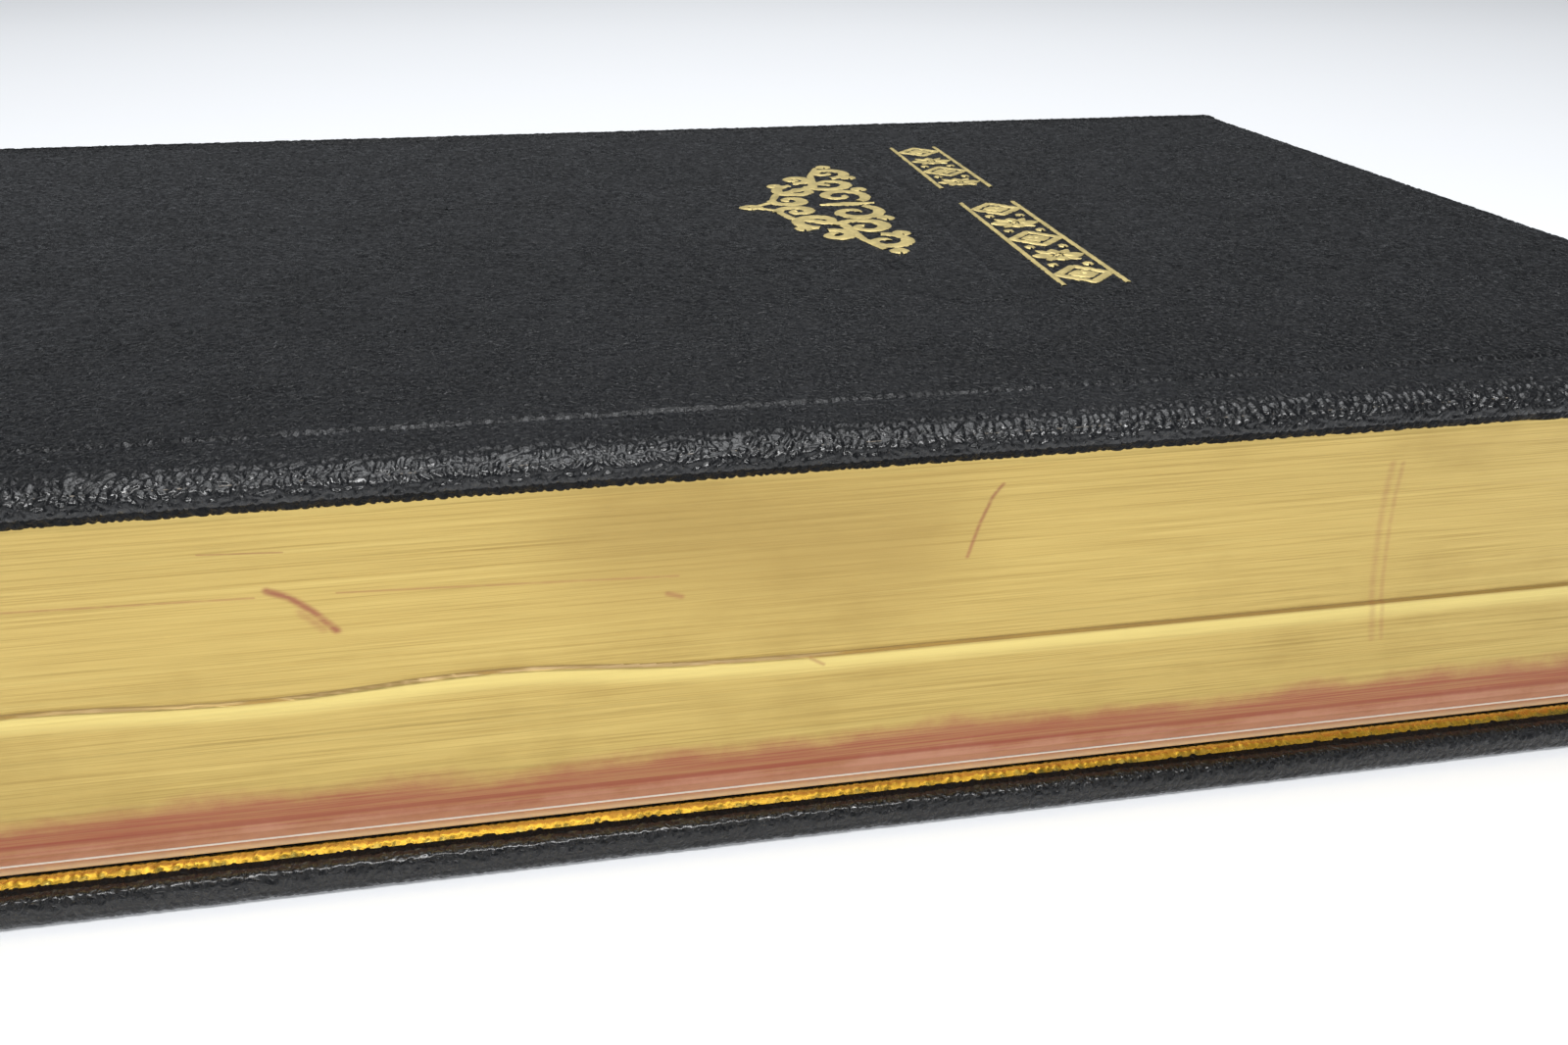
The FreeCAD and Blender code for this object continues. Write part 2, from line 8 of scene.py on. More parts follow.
import bpy
import numpy as np
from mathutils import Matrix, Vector


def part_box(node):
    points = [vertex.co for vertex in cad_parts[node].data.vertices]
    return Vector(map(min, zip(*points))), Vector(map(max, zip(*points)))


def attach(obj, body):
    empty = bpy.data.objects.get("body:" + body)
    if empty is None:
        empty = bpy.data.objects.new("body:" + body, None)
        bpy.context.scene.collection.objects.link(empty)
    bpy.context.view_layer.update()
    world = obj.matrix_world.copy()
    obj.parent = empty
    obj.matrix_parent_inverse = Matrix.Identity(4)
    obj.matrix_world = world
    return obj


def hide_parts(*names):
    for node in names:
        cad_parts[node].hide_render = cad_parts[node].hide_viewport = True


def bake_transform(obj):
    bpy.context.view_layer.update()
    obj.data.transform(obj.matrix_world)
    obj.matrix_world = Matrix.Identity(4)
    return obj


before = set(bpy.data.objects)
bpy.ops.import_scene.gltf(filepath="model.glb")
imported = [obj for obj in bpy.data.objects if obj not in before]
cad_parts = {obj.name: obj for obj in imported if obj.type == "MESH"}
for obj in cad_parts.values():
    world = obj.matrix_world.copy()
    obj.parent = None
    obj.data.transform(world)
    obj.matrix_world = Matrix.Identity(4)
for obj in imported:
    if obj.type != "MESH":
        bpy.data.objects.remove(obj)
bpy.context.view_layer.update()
MM = 0.001


# ---- Places, all read from the CAD frame ----
def node_box(node):
    low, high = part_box(node)
    return np.array(low) / MM, np.array(high) / MM


COVER_LOW, COVER_HIGH = node_box("front_cover_leather")
BOARD_X, FORE_X = COVER_LOW[0], COVER_HIGH[0]
HEAD_Y = COVER_HIGH[1]
TOP = COVER_HIGH[2]
COVER = TOP - COVER_LOW[2]
MID_Z = TOP / 2
SPINE_X = node_box("front_joint_leather")[0][0]
SPINE_LOW = node_box("spine_leather")[0]
LEATHER = SPINE_LOW[2]
SECTIONS = sorted(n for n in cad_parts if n.startswith("section_"))
SECTION_BOXES = [node_box(n) for n in SECTIONS]
SECTION = SECTION_BOXES[0][1][2] - SECTION_BOXES[0][0][2]
PAGE_Y = SECTION_BOXES[0][1][1]
PAGE_WIDTH = SECTION_BOXES[0][1][0] - SECTION_BOXES[0][0][0]
SEWN_BASE, SEWN_TOP = SECTION_BOXES[-1][0][2], SECTION_BOXES[0][1][2]
STEP_Z = max(high[2] for low, high in SECTION_BOXES if high[0] - low[0] > PAGE_WIDTH + 0.1)
BLOCK_BASE = node_box("back_flyleaf")[0][2]
BLOCK_TOP = node_box("front_flyleaf")[1][2]
MARGIN_LOW = node_box("front_tipped_margin")[0]
TURN_IN = FORE_X - node_box("front_pastedown")[1][0]
GILT_INSET = FORE_X - node_box("back_gilt_line")[1][0]
BAND_LOW, BAND_HIGH = node_box("title_band_foil")
ORNAMENT_LOW, ORNAMENT_HIGH = node_box("ornament_foil")

COVER_CORNER = 9.0
PAGE_CORNER = 7.0
CREASE_INSET = 8.5  # middle of the blind line, in from the fore-edge
CREASE_DEPTH = 0.3
RULE_BELOW_BAND = 10.0
RULE_SHIFT = 5.0
RULE_HALF = 39.5


# ---- Noise ----
def scatter(i, j, seed):
    """A repeatable value from 0 to 1 for each pair of whole numbers."""
    value = np.sin(i * 127.1 + j * 311.7 + seed * 74.7) * 43758.5453
    return value - np.floor(value)


def soft_noise(u, v, seed):
    """Smooth noise from -1 to 1 with features one unit across."""
    i, j = np.floor(u), np.floor(v)
    a, b = u - i, v - j
    a, b = a * a * (3 - 2 * a), b * b * (3 - 2 * b)
    low = scatter(i, j, seed) * (1 - a) + scatter(i + 1, j, seed) * a
    high = scatter(i, j + 1, seed) * (1 - a) + scatter(i + 1, j + 1, seed) * a
    return (low * (1 - b) + high * b) * 2 - 1


def cells(u, v, seed):
    """Cells one unit across: the distance inside the nearest border, and a random value for each cell."""
    i, j = np.floor(u), np.floor(v)
    best, second, tone = np.full(u.shape, 9.0), np.full(u.shape, 9.0), np.zeros(u.shape)
    for di in (-1, 0, 1):
        for dj in (-1, 0, 1):
            ci, cj = i + di, j + dj
            x = ci + 0.5 + 0.85 * (scatter(ci, cj, seed) - 0.5)
            y = cj + 0.5 + 0.85 * (scatter(ci, cj, seed + 1) - 0.5)
            distance = np.hypot(u - x, v - y)
            nearer = distance < best
            second = np.where(nearer, best, np.minimum(second, distance))
            tone = np.where(nearer, scatter(ci, cj, seed + 2), tone)
            best = np.where(nearer, distance, best)
    return second - best, tone


GRAIN = 0.98  # pebble pitch
GRAIN_DEPTH = 0.17


def grain(x, y, seed=3):
    """Height of pebbled leather at a place: about 0 on a pebble, negative in the valleys."""
    u = x / GRAIN + 0.45 * soft_noise(x / 2.1, y / 2.1, seed + 10)
    v = y / GRAIN + 0.45 * soft_noise(x / 2.1, y / 2.1, seed + 11)
    inside, tone = cells(u, v, seed)
    dome = np.clip(inside / 0.6, 0, 1)
    dome = dome * (2 - dome)
    height = GRAIN_DEPTH * (dome - 1 + 0.35 * (tone - 0.5))
    return height + 0.02 * soft_noise(x / 9, y / 9, seed + 12)


def smooth_step(value):
    value = np.clip(value, 0, 1)
    return value * value * (3 - 2 * value)


# The step between the narrower front leaves and the wider back ones, seen on the fore-edge: it waves in the
# foot half and drops to a level line in the head half. Lengths along Y, and heights from the CAD step.
STEP_TURN = (-20.0, 12.0)
STEP_FALL, STEP_DROP = 0.75, 1.2
STEP_WAVE, STEP_WAVE_LENGTH, STEP_CREST = 0.45, 43.0, -24.0


def step_height(y):
    share = smooth_step((y - STEP_TURN[0]) / (STEP_TURN[1] - STEP_TURN[0]))
    wave = STEP_WAVE * np.cos(2 * math.pi * (y - STEP_CREST) / STEP_WAVE_LENGTH)
    return STEP_Z - STEP_FALL - STEP_DROP * share + wave * (1 - share)


# ---- Mesh building ----
class Sheets:
    """Collects grids of points into one mesh."""

    def __init__(self):
        self.points, self.quads, self.slots, self.count = [], [], [], 0

    def add(self, grid, flip=False, wrap=False, slot=0):
        rows, cols = grid.shape[:2]
        index = np.arange(rows * cols).reshape(rows, cols) + self.count
        if wrap:
            index = np.concatenate([index, index[:, :1]], axis=1)
        corners = index[:-1, :-1], index[1:, :-1], index[1:, 1:], index[:-1, 1:]
        quads = np.stack(corners, -1).reshape(-1, 4)
        self.quads.append(quads[:, ::-1] if flip else quads)
        self.slots.append(np.broadcast_to(slot, corners[0].shape).reshape(-1).astype(np.int32))
        self.points.append(grid.reshape(-1, 3))
        self.count += rows * cols
        return self

    def build(self, name, *materials, sharp=None):
        points = np.concatenate(self.points) * MM
        quads = np.concatenate(self.quads)
        mesh = bpy.data.meshes.new(name)
        mesh.vertices.add(len(points))
        mesh.vertices.foreach_set("co", points.astype(np.float32).ravel())
        mesh.loops.add(quads.size)
        mesh.loops.foreach_set("vertex_index", quads.astype(np.int32).ravel())
        mesh.polygons.add(len(quads))
        mesh.polygons.foreach_set("loop_start", np.arange(0, quads.size, 4, dtype=np.int32))
        for material in materials:
            mesh.materials.append(material)
        mesh.polygons.foreach_set("material_index", np.concatenate(self.slots))
        mesh.update(calc_edges=True)
        mesh.validate()
        mesh.shade_smooth()
        if sharp:
            mesh.set_sharp_from_angle(angle=math.radians(sharp))
        made = bpy.data.objects.new(name, mesh)
        bpy.context.scene.collection.objects.link(made)
        return made


def finish_piece(piece, body, slot, *nodes):
    """Puts a piece on its body and hides the CAD nodes that it stands for. The slot is not used."""
    if body:
        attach(piece, body)
    if nodes:
        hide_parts(*nodes)
    return piece


def steps(start, end, pitch):
    return np.linspace(start, end, max(2, int(round(abs(end - start) / pitch)) + 1))


# ---- Materials ----
class Nodes:
    """A material's node tree, with short ways to add nodes."""

    def __init__(self, name):
        self.material = bpy.data.materials.new(name)
        self.material.use_nodes = True
        self.tree = self.material.node_tree
        self.shader = next(n for n in self.tree.nodes if n.type == "BSDF_PRINCIPLED")
        self.place = self.add("ShaderNodeTexCoord").outputs["Object"]

    def add(self, kind, **settings):
        node = self.tree.nodes.new(kind)
        for key, value in settings.items():
            setattr(node, key, value)
        return node

    def feed(self, socket, value):
        if isinstance(value, bpy.types.NodeSocket):
            self.tree.links.new(value, socket)
        else:
            socket.default_value = value

    def set(self, **sockets):
        for name, value in sockets.items():
            self.feed(self.shader.inputs[name.replace("_", " ").title().replace("Ior", "IOR")], value)
        return self

    def scaled(self, x, y, z):
        node = self.add("ShaderNodeMapping")
        self.feed(node.inputs["Vector"], self.place)
        node.inputs["Scale"].default_value = (x, y, z)
        return node.outputs["Vector"]

    def noise(self, size, vector=None, detail=3.0, roughness=0.55):
        """Noise whose features are about size millimetres across."""
        node = self.add("ShaderNodeTexNoise")
        self.feed(node.inputs["Vector"], vector or self.place)
        node.inputs["Scale"].default_value = 1 / (size * MM)
        node.inputs["Detail"].default_value = detail
        node.inputs["Roughness"].default_value = roughness
        return node.outputs["Fac"]

    def voronoi(self, size, warp):
        """Distance to the borders of cells about size millimetres across, bent by a noise."""
        node = self.add("ShaderNodeTexVoronoi", feature="DISTANCE_TO_EDGE")
        moved = self.add("ShaderNodeVectorMath", operation="ADD")
        self.feed(moved.inputs[0], self.place)
        self.feed(moved.inputs[1], self.times(warp, size * MM))
        self.feed(node.inputs["Vector"], moved.outputs[0])
        node.inputs["Scale"].default_value = 1 / (size * MM)
        return node.outputs["Distance"]

    def wave(self, size, direction):
        node = self.add("ShaderNodeTexWave", bands_direction=direction)
        self.feed(node.inputs["Vector"], self.place)
        node.inputs["Scale"].default_value = 0.314 / (size * MM)
        return node.outputs["Fac"]

    def ramp(self, value, low, high, to_low=0.0, to_high=1.0):
        """A smooth change from to_low to to_high while the value goes from low to high."""
        node = self.add("ShaderNodeMapRange", interpolation_type="SMOOTHSTEP")
        settings = {"Value": value, "From Min": low, "From Max": high, "To Min": to_low, "To Max": to_high}
        for name, setting in settings.items():
            self.feed(node.inputs[name], setting)
        return node.outputs["Result"]

    def maths(self, operation, a, b=0.0):
        node = self.add("ShaderNodeMath", operation=operation)
        self.feed(node.inputs[0], a)
        self.feed(node.inputs[1], b)
        return node.outputs[0]

    def times(self, a, b):
        return self.maths("MULTIPLY", a, b)

    def stripe(self, height, rise, fall):
        """1 where a height in metres is between two ramps, each given as (from, to) in millimetres."""
        return self.times(
            self.ramp(height, rise[0] * MM, rise[1] * MM),
            self.ramp(height, fall[0] * MM, fall[1] * MM, 1.0, 0.0),
        )

    def mix(self, share, a, b):
        node = self.add("ShaderNodeMix", data_type="RGBA")
        inputs = [s for s in node.inputs if s.enabled]
        self.feed(inputs[0], share)
        for socket, colour in ((inputs[1], a), (inputs[2], b)):
            self.feed(socket, colour if isinstance(colour, bpy.types.NodeSocket) else (*colour, 1.0))
        return [s for s in node.outputs if s.enabled][0]

    def bump(self, height, distance, strength=1.0, normal=None):
        """Bump of a height from 0 to 1, distance millimetres deep."""
        node = self.add("ShaderNodeBump")
        node.inputs["Strength"].default_value = strength
        node.inputs["Distance"].default_value = distance * MM
        self.feed(node.inputs["Height"], height)
        if normal:
            self.feed(node.inputs["Normal"], normal)
        return node.outputs["Normal"]

    def step_height(self, y):
        """The height of the step on the fore-edge, in metres, as step_height gives it in millimetres."""
        share = self.ramp(y, STEP_TURN[0] * MM, STEP_TURN[1] * MM)
        past_crest = self.maths("SUBTRACT", y, STEP_CREST * MM)
        turn = self.times(past_crest, 2 * math.pi / (STEP_WAVE_LENGTH * MM))
        wave = self.times(self.maths("COSINE", turn), STEP_WAVE * MM)
        wave = self.times(wave, self.maths("SUBTRACT", 1.0, share))
        level = self.maths("SUBTRACT", (STEP_Z - STEP_FALL) * MM, self.times(share, STEP_DROP * MM))
        return self.maths("ADD", level, wave)

    def axes(self):
        """The place along Y and along Z."""
        node = self.add("ShaderNodeSeparateXYZ")
        self.feed(node.inputs[0], self.place)
        return node.outputs["Y"], node.outputs["Z"]

    def stroke(self, start, end, width):
        """1 on a line between two places in the YZ plane, fading out over its width."""
        flat = self.scaled(0, 1, 1)
        a, b = (0, start[0] * MM, start[1] * MM), (0, end[0] * MM, end[1] * MM)
        along = Vector(b) - Vector(a)
        away = self.add("ShaderNodeVectorMath", operation="SUBTRACT")
        self.feed(away.inputs[0], flat)
        away.inputs[1].default_value = a
        dot = self.add("ShaderNodeVectorMath", operation="DOT_PRODUCT")
        self.feed(dot.inputs[0], away.outputs[0])
        dot.inputs[1].default_value = along / along.length_squared
        share = self.maths("MAXIMUM", self.maths("MINIMUM", dot.outputs["Value"], 1.0), 0.0)
        reach = self.add("ShaderNodeVectorMath", operation="SCALE")
        reach.inputs[0].default_value = along
        self.feed(reach.inputs["Scale"], share)
        gap = self.add("ShaderNodeVectorMath", operation="DISTANCE")
        self.feed(gap.inputs[0], away.outputs[0])
        self.feed(gap.inputs[1], reach.outputs[0])
        return self.ramp(gap.outputs["Value"], 0.0, width * MM, 1.0, 0.0)


def leather_material(name, gloss=0.36, coat=0.14, rough=0.28):
    """Black leather with a wet-looking finish: fine wrinkles on the pebbles, duller creases between."""
    m = Nodes(name)
    dark, pale = (0.0030, 0.0034, 0.0042), (0.0070, 0.0075, 0.0088)
    colour = m.mix(m.ramp(m.noise(14, detail=5), 0.3, 0.7), dark, pale)
    crumple = m.noise(0.55, detail=3, roughness=0.5)
    pebbles = m.ramp(m.voronoi(0.85, crumple), 0.0, 0.22)
    wrinkles = m.ramp(m.voronoi(0.4, crumple), 0.0, 0.2)
    pores = m.noise(0.16, detail=3)
    normal = m.bump(pores, 0.012, 0.5, m.bump(wrinkles, 0.025, 0.6, m.bump(pebbles, 0.09, 0.8)))
    blotch = m.ramp(m.noise(5, detail=4), 0.3, 0.7, -0.04, 0.06)
    creases = m.times(m.maths("SUBTRACT", 1.0, pebbles), 0.2)
    roughness = m.maths("ADD", m.maths("ADD", blotch, rough), creases)
    return m.set(base_color=colour, roughness=roughness, normal=normal, specular_ior_level=gloss,
                 coat_weight=coat, coat_roughness=0.12).material


def foil_material(name, colour, rough, metal=1.0):
    m = Nodes(name)
    tint = m.mix(m.ramp(m.noise(2.5, detail=5), 0.35, 0.75), colour, tuple(c * 0.72 for c in colour))
    roughness = m.ramp(m.noise(0.8), 0.3, 0.7, rough, rough + 0.16)
    normal = m.bump(m.noise(0.35, detail=4), 0.02, 0.5)
    return m.set(base_color=tint, roughness=roughness, normal=normal, metallic=metal).material


def paper_material(name, colour, fibre=0.4):
    m = Nodes(name)
    tint = m.mix(m.ramp(m.noise(6, detail=6), 0.35, 0.7), colour, tuple(c * 0.94 for c in colour))
    normal = m.bump(m.noise(fibre, detail=5), 0.015, 0.5)
    return m.set(base_color=tint, roughness=0.85, normal=normal, specular_ior_level=0.25).material


def cloth_material(name, colour, pitch):
    m = Nodes(name)
    weave = m.times(m.wave(pitch, "Y"), m.wave(pitch, "Z"))
    tint = m.mix(weave, tuple(c * 0.6 for c in colour), colour)
    normal = m.bump(weave, 0.06, 0.8)
    return m.set(base_color=tint, roughness=0.9, normal=normal, specular_ior_level=0.2).material


def board_material(name, colour):
    m = Nodes(name)
    speck = m.ramp(m.noise(0.5, detail=8), 0.4, 0.65)
    tint = m.mix(speck, colour, tuple(c * 0.65 for c in colour))
    return m.set(base_color=tint, roughness=0.92, normal=m.bump(m.noise(0.3, detail=6), 0.04, 0.6)).material


def scratch(along, up, run, fall, bend=1.0, pieces=1):
    """A scratch on the fore-edge, as strokes from one (Y, Z) place to the next.

    It starts at a share of the way from the middle to the head, and of the way up the block. From there it
    runs and falls by lengths, and falls late if its bend is over 1.
    """
    share = np.linspace(0, 1, pieces + 1)
    y = along * PAGE_Y + run * share
    z = BLOCK_BASE + up * (BLOCK_TOP - BLOCK_BASE) - fall * share**bend
    places = list(zip(y.tolist(), z.tolist()))
    return list(zip(places, places[1:]))


LATE = 1.6

# Scratches seen on the gilt: strokes, width and strength.
SCRATCHES = [
    (scratch(-0.36, 0.73, 5.0, 5.0, LATE, 3), 0.7, 0.9),  # a hook, with a smear inside it
    (scratch(-0.34, 0.66, 1.5, 2.0), 0.8, 0.4),
    (scratch(0.22, 0.88, -2.5, 8.5, LATE, 3), 0.35, 0.65),  # a slash
    (scratch(0.57, 0.85, 4.0, 22.0), 0.65, 0.25),  # two long rubs, side by side
    (scratch(0.58, 0.85, 4.0, 22.0), 0.45, 0.25),
    (scratch(-0.055, 0.625, 1.3, 0.5), 0.5, 0.5),  # two flecks
    (scratch(0.065, 0.39, 1.3, 0.8), 0.35, 0.45),
    (scratch(-0.55, 0.73, 21.0, 0.6), 0.22, 0.4),  # hairlines along the leaves
    (scratch(-0.31, 0.71, 31.0, 1.3), 0.22, 0.4),
    (scratch(-0.40, 0.85, 7.0, 0.4), 0.16, 0.5),
]


def gilt_material(name):
    """Gold on the leaf edges: fine streaks along the leaves, worn to red near the foot of the block."""
    m = Nodes(name)
    y, z = m.axes()
    leafy = m.noise(0.14, m.scaled(0.02, 0.008, 1.0), detail=5, roughness=0.55)
    streak = m.noise(0.7, m.scaled(0.02, 0.012, 1.0), detail=5)
    cloud = m.noise(16, m.scaled(1, 1, 1.6), detail=4)
    gold, deep, bright = (0.60, 0.44, 0.145), (0.41, 0.28, 0.083), (0.71, 0.545, 0.19)
    colour = m.mix(m.ramp(leafy, 0.42, 0.75, 0.0, 0.55), gold, deep)
    colour = m.mix(m.ramp(streak, 0.5, 0.75, 0.0, 0.55), colour, bright)
    colour = m.mix(m.ramp(streak, 0.27, 0.40, 0.55, 0.0), colour, deep)
    colour = m.mix(m.ramp(cloud, 0.48, 0.72, 0.0, 0.35), colour, deep)
    shade = m.stroke((-9.0, 35.5), (15.0, 31.5), 15.0)
    colour = m.mix(m.times(shade, 0.6), colour, (0.40, 0.27, 0.085))
    below_step = m.maths("SUBTRACT", z, m.step_height(y))
    lit = m.stripe(below_step, (-2.6, -0.9), (-0.5, -0.1))
    colour = m.mix(m.times(lit, 0.65), colour, (0.88, 0.73, 0.27))
    # Painted shadow: a dark brown line along the step, unevenly dark, with less metal there.
    step_shadow = m.stripe(below_step, (-0.2, -0.1), (0.1, 0.2))
    step_shadow = m.times(step_shadow, m.ramp(m.noise(9, m.scaled(0.2, 0.6, 0.2)), 0.3, 0.6, 0.55, 0.95))
    colour = m.mix(step_shadow, colour, (0.36, 0.235, 0.075))
    ragged = m.noise(9, m.scaled(0.6, 0.6, 1.0), detail=7, roughness=0.65)
    wander = m.times(m.maths("SUBTRACT", ragged, 0.5), 6.0 * MM)
    height = m.maths("ADD", z, wander)
    base = BLOCK_BASE * MM
    worn = m.ramp(height, base + 4.0 * MM, base + 7.0 * MM, 1.0, 0.0)
    pinkish = m.ramp(height, base + 1.0 * MM, base + 3.2 * MM, 1.0, 0.0)
    streaky = m.ramp(leafy, 0.35, 0.7, 0.72, 1.0)
    red, pink, cream = (0.38, 0.100, 0.050), (0.62, 0.30, 0.19), (0.74, 0.52, 0.36)
    colour = m.mix(m.times(worn, streaky), colour, red)
    colour = m.mix(m.times(pinkish, m.times(worn, 0.85)), colour, pink)
    line_z = BLOCK_BASE + 2.6
    thin_line = m.stripe(z, (line_z, line_z + 0.25), (line_z + 0.35, line_z + 0.7))
    colour = m.mix(m.times(thin_line, 0.7), colour, (0.33, 0.07, 0.035))
    colour = m.mix(m.ramp(z, base + 0.3 * MM, base + 0.9 * MM, 1.0, 0.0), colour, cream)
    scuffs = None
    for strokes, width, strength in SCRATCHES:
        for start, end in strokes:
            mark = m.times(m.stroke(start, end, width), strength)
            scuffs = mark if scuffs is None else m.maths("MAXIMUM", scuffs, mark)
    broken = m.ramp(m.noise(0.6, m.scaled(0.3, 0.3, 1)), 0.3, 0.55, 0.55, 1.0)
    scuffs = m.times(scuffs, broken)
    colour = m.mix(scuffs, colour, (0.36, 0.11, 0.05))
    # Less metal where the gold is worn or scuffed, and along the painted step shadow.
    bare_and_step_shadow = m.maths("MAXIMUM", m.maths("MAXIMUM", worn, scuffs), step_shadow)
    metal = m.maths("SUBTRACT", 0.80, m.times(bare_and_step_shadow, 0.7))
    rough = m.ramp(leafy, 0.3, 0.7, 0.36, 0.48)
    normal = m.bump(leafy, 0.03, 0.5, m.bump(streak, 0.04, 0.35))
    return m.set(base_color=colour, metallic=metal, roughness=rough, normal=normal).material


def headband_material(name):
    m = Nodes(name)
    stripe = m.ramp(m.wave(2.6, "Z"), 0.45, 0.55)
    colour = m.mix(stripe, (0.02, 0.018, 0.018), (0.62, 0.45, 0.14))
    return m.set(base_color=colour, roughness=0.6, normal=m.bump(m.wave(0.3, "Z"), 0.05, 0.6)).material


def floor_material(name):
    m = Nodes(name)
    colour = m.mix(m.noise(400, detail=2), (0.86, 0.87, 0.89), (0.89, 0.90, 0.915))
    m.set(base_color=colour, roughness=0.7, specular_ior_level=0.2)
    return m.set(emission_color=(0.93, 0.96, 1.0, 1), emission_strength=0.28).material


LEATHER_SKIN = leather_material("black_leather")
ROLLED_LEATHER = leather_material("rolled_leather", 0.38, 0.4, 0.22)
TURNED_LEATHER = leather_material("turned_leather", 0.14, 0.0, 0.36)
FOIL = foil_material("gold_foil", (0.80, 0.65, 0.28), 0.42, 0.55)
TOOLED = foil_material("tooled_gold", (0.93, 0.70, 0.16), 0.17)
GILT = gilt_material("gilt_edge")
LEAF_PAPER = paper_material("leaf_paper", (0.83, 0.79, 0.70))
ENDPAPER = paper_material("endpaper", (0.84, 0.80, 0.72), 0.7)
KRAFT = paper_material("kraft_paper", (0.44, 0.30, 0.17), 0.8)
MULL = cloth_material("mull_cloth", (0.78, 0.75, 0.68), 0.9)
TAPE = cloth_material("tape_cloth", (0.80, 0.76, 0.66), 0.5)
BOARD = board_material("grey_board", (0.36, 0.31, 0.25))
CARD = board_material("card", (0.46, 0.42, 0.35))
THREAD = cloth_material("linen_thread", (0.82, 0.79, 0.72), 0.25)
BANDING = headband_material("headband_silk")


# ---- Covers ----
# Half-axes of a rim's roll on its outer side: in from the rim, and down from the face. The back cover's
# roll is flattened.
ROLLS = {"front": (3.5, 2.05), "back": (1.7, 1.5)}
INNER_ROLL = 1.3
GOLD_LINE_WIDTH, GOLD_LINE_RISE = 1.7, 0.34
GOLD_LINE_SHIFT = 0.3  # from the foil's outer edge in CAD to the beads' outer edge
NEAR_STRIP = 26.0  # width of the finest mesh, beside the blind line
FAR_STRIP = 56.0  # width of the coarsest mesh, beside the joint
SPINE_FADE = 3.0  # the rim's wrinkles die out over this length towards the joint
ROLL_FROM = 0.12  # how far down a rim its glossy roll starts
UNDER_FROM = 0.35  # how far below the roll's fullest place its duller inner side starts


def rim_path(fine, coarse):
    """Places round the three free edges of a cover, outward directions, from the spine end of the foot."""
    corner_x, corner_y = FORE_X - COVER_CORNER, HEAD_Y - COVER_CORNER
    side = steps(BOARD_X, corner_x, coarse)
    turn = steps(-math.pi / 2, 0, fine / COVER_CORNER)[1:-1]
    run = steps(-corner_y, corner_y, fine)
    ring = COVER_CORNER * np.stack([np.cos(turn), np.sin(turn)], 1)
    foot = np.stack([side, np.full(len(side), -HEAD_Y)], 1)
    fore = np.stack([np.full(len(run), FORE_X), run], 1)
    foot_corner = ring + [corner_x, -corner_y]
    points = np.concatenate([foot, foot_corner, fore, foot_corner[::-1] * [1, -1], foot[::-1] * [1, -1]])
    down = np.tile([0.0, -1.0], (len(side), 1))
    out = np.tile([1.0, 0.0], (len(run), 1))
    ring_out = ring / COVER_CORNER
    outward = np.concatenate([down, ring_out, out, ring_out[::-1] * [1, -1], -down])
    turned = len(side) + len(ring)
    return points, outward, (0, turned, turned + len(run) - 1, len(points) - 1)


def rim_profile(pitch, roll):
    """The rim's section: distance in from the rim, depth below the outer face, and its outward normal."""
    wide, deep = roll
    flat = steps(CREASE_INSET, wide, pitch * 1.4)[:-1]
    outer = np.linspace(0, math.pi / 2, int(1.6 * wide / pitch) + 4)
    inner = np.linspace(0, math.pi / 2, int(1.6 * (COVER - deep) / pitch) + 3)[1:]
    inside = steps(INNER_ROLL, TURN_IN, pitch * 1.4)[1:]
    inset = np.concatenate([flat, wide * (1 - np.sin(outer)), INNER_ROLL * (1 - np.cos(inner)), inside])
    depth = np.concatenate(
        [
            np.zeros(len(flat)),
            deep * (1 - np.cos(outer)),
            deep + (COVER - deep) * np.sin(inner),
            np.full(len(inside), COVER),
        ]
    )
    step = np.hypot(np.diff(inset), np.diff(depth))
    travel = np.concatenate([[0], np.cumsum(step)])
    across, down = np.gradient(-inset, travel), np.gradient(depth, travel)
    normal = np.stack([down, across], 1)
    normal /= np.linalg.norm(normal, axis=1)[:, None]
    return inset, depth, normal, travel, len(flat) + len(outer) + len(inner)


def crease(x, y):
    """Depth of the blind line: deepest in its middle, and broken up by the leather's pebbles."""
    beads, _ = cells(y / 0.8, 0.5 + 0 * y, 61)
    broken = 0.55 + 0.45 * smooth_step(beads / 0.5)
    return CREASE_DEPTH * broken * np.exp(-(((FORE_X - x) - CREASE_INSET) / 0.34) ** 2)


def face(grid, side):
    """Turns a cover built with its outer face upwards over, for the back cover."""
    if side == "back":
        grid = grid.copy()
        grid[..., 2] = TOP - grid[..., 2]
    return grid


def panel_height(x, y, side, seed):
    """Height of a cover's outer face, pressed in along the blind line and, in front, the blind rule."""
    height = TOP + grain(x, y, seed) - crease(x, y)
    if side == "front":
        rule_y = BAND_LOW[1] - RULE_BELOW_BAND + (BAND_HIGH[1] - BAND_LOW[1]) / 2
        rule_x = (BAND_LOW[0] + BAND_HIGH[0]) / 2 + RULE_SHIFT
        ends = smooth_step((RULE_HALF - np.abs(x - rule_x)) / 1.5)
        height -= 0.3 * ends * np.exp(-(((y - rule_y) / 0.75) ** 2))
    return height


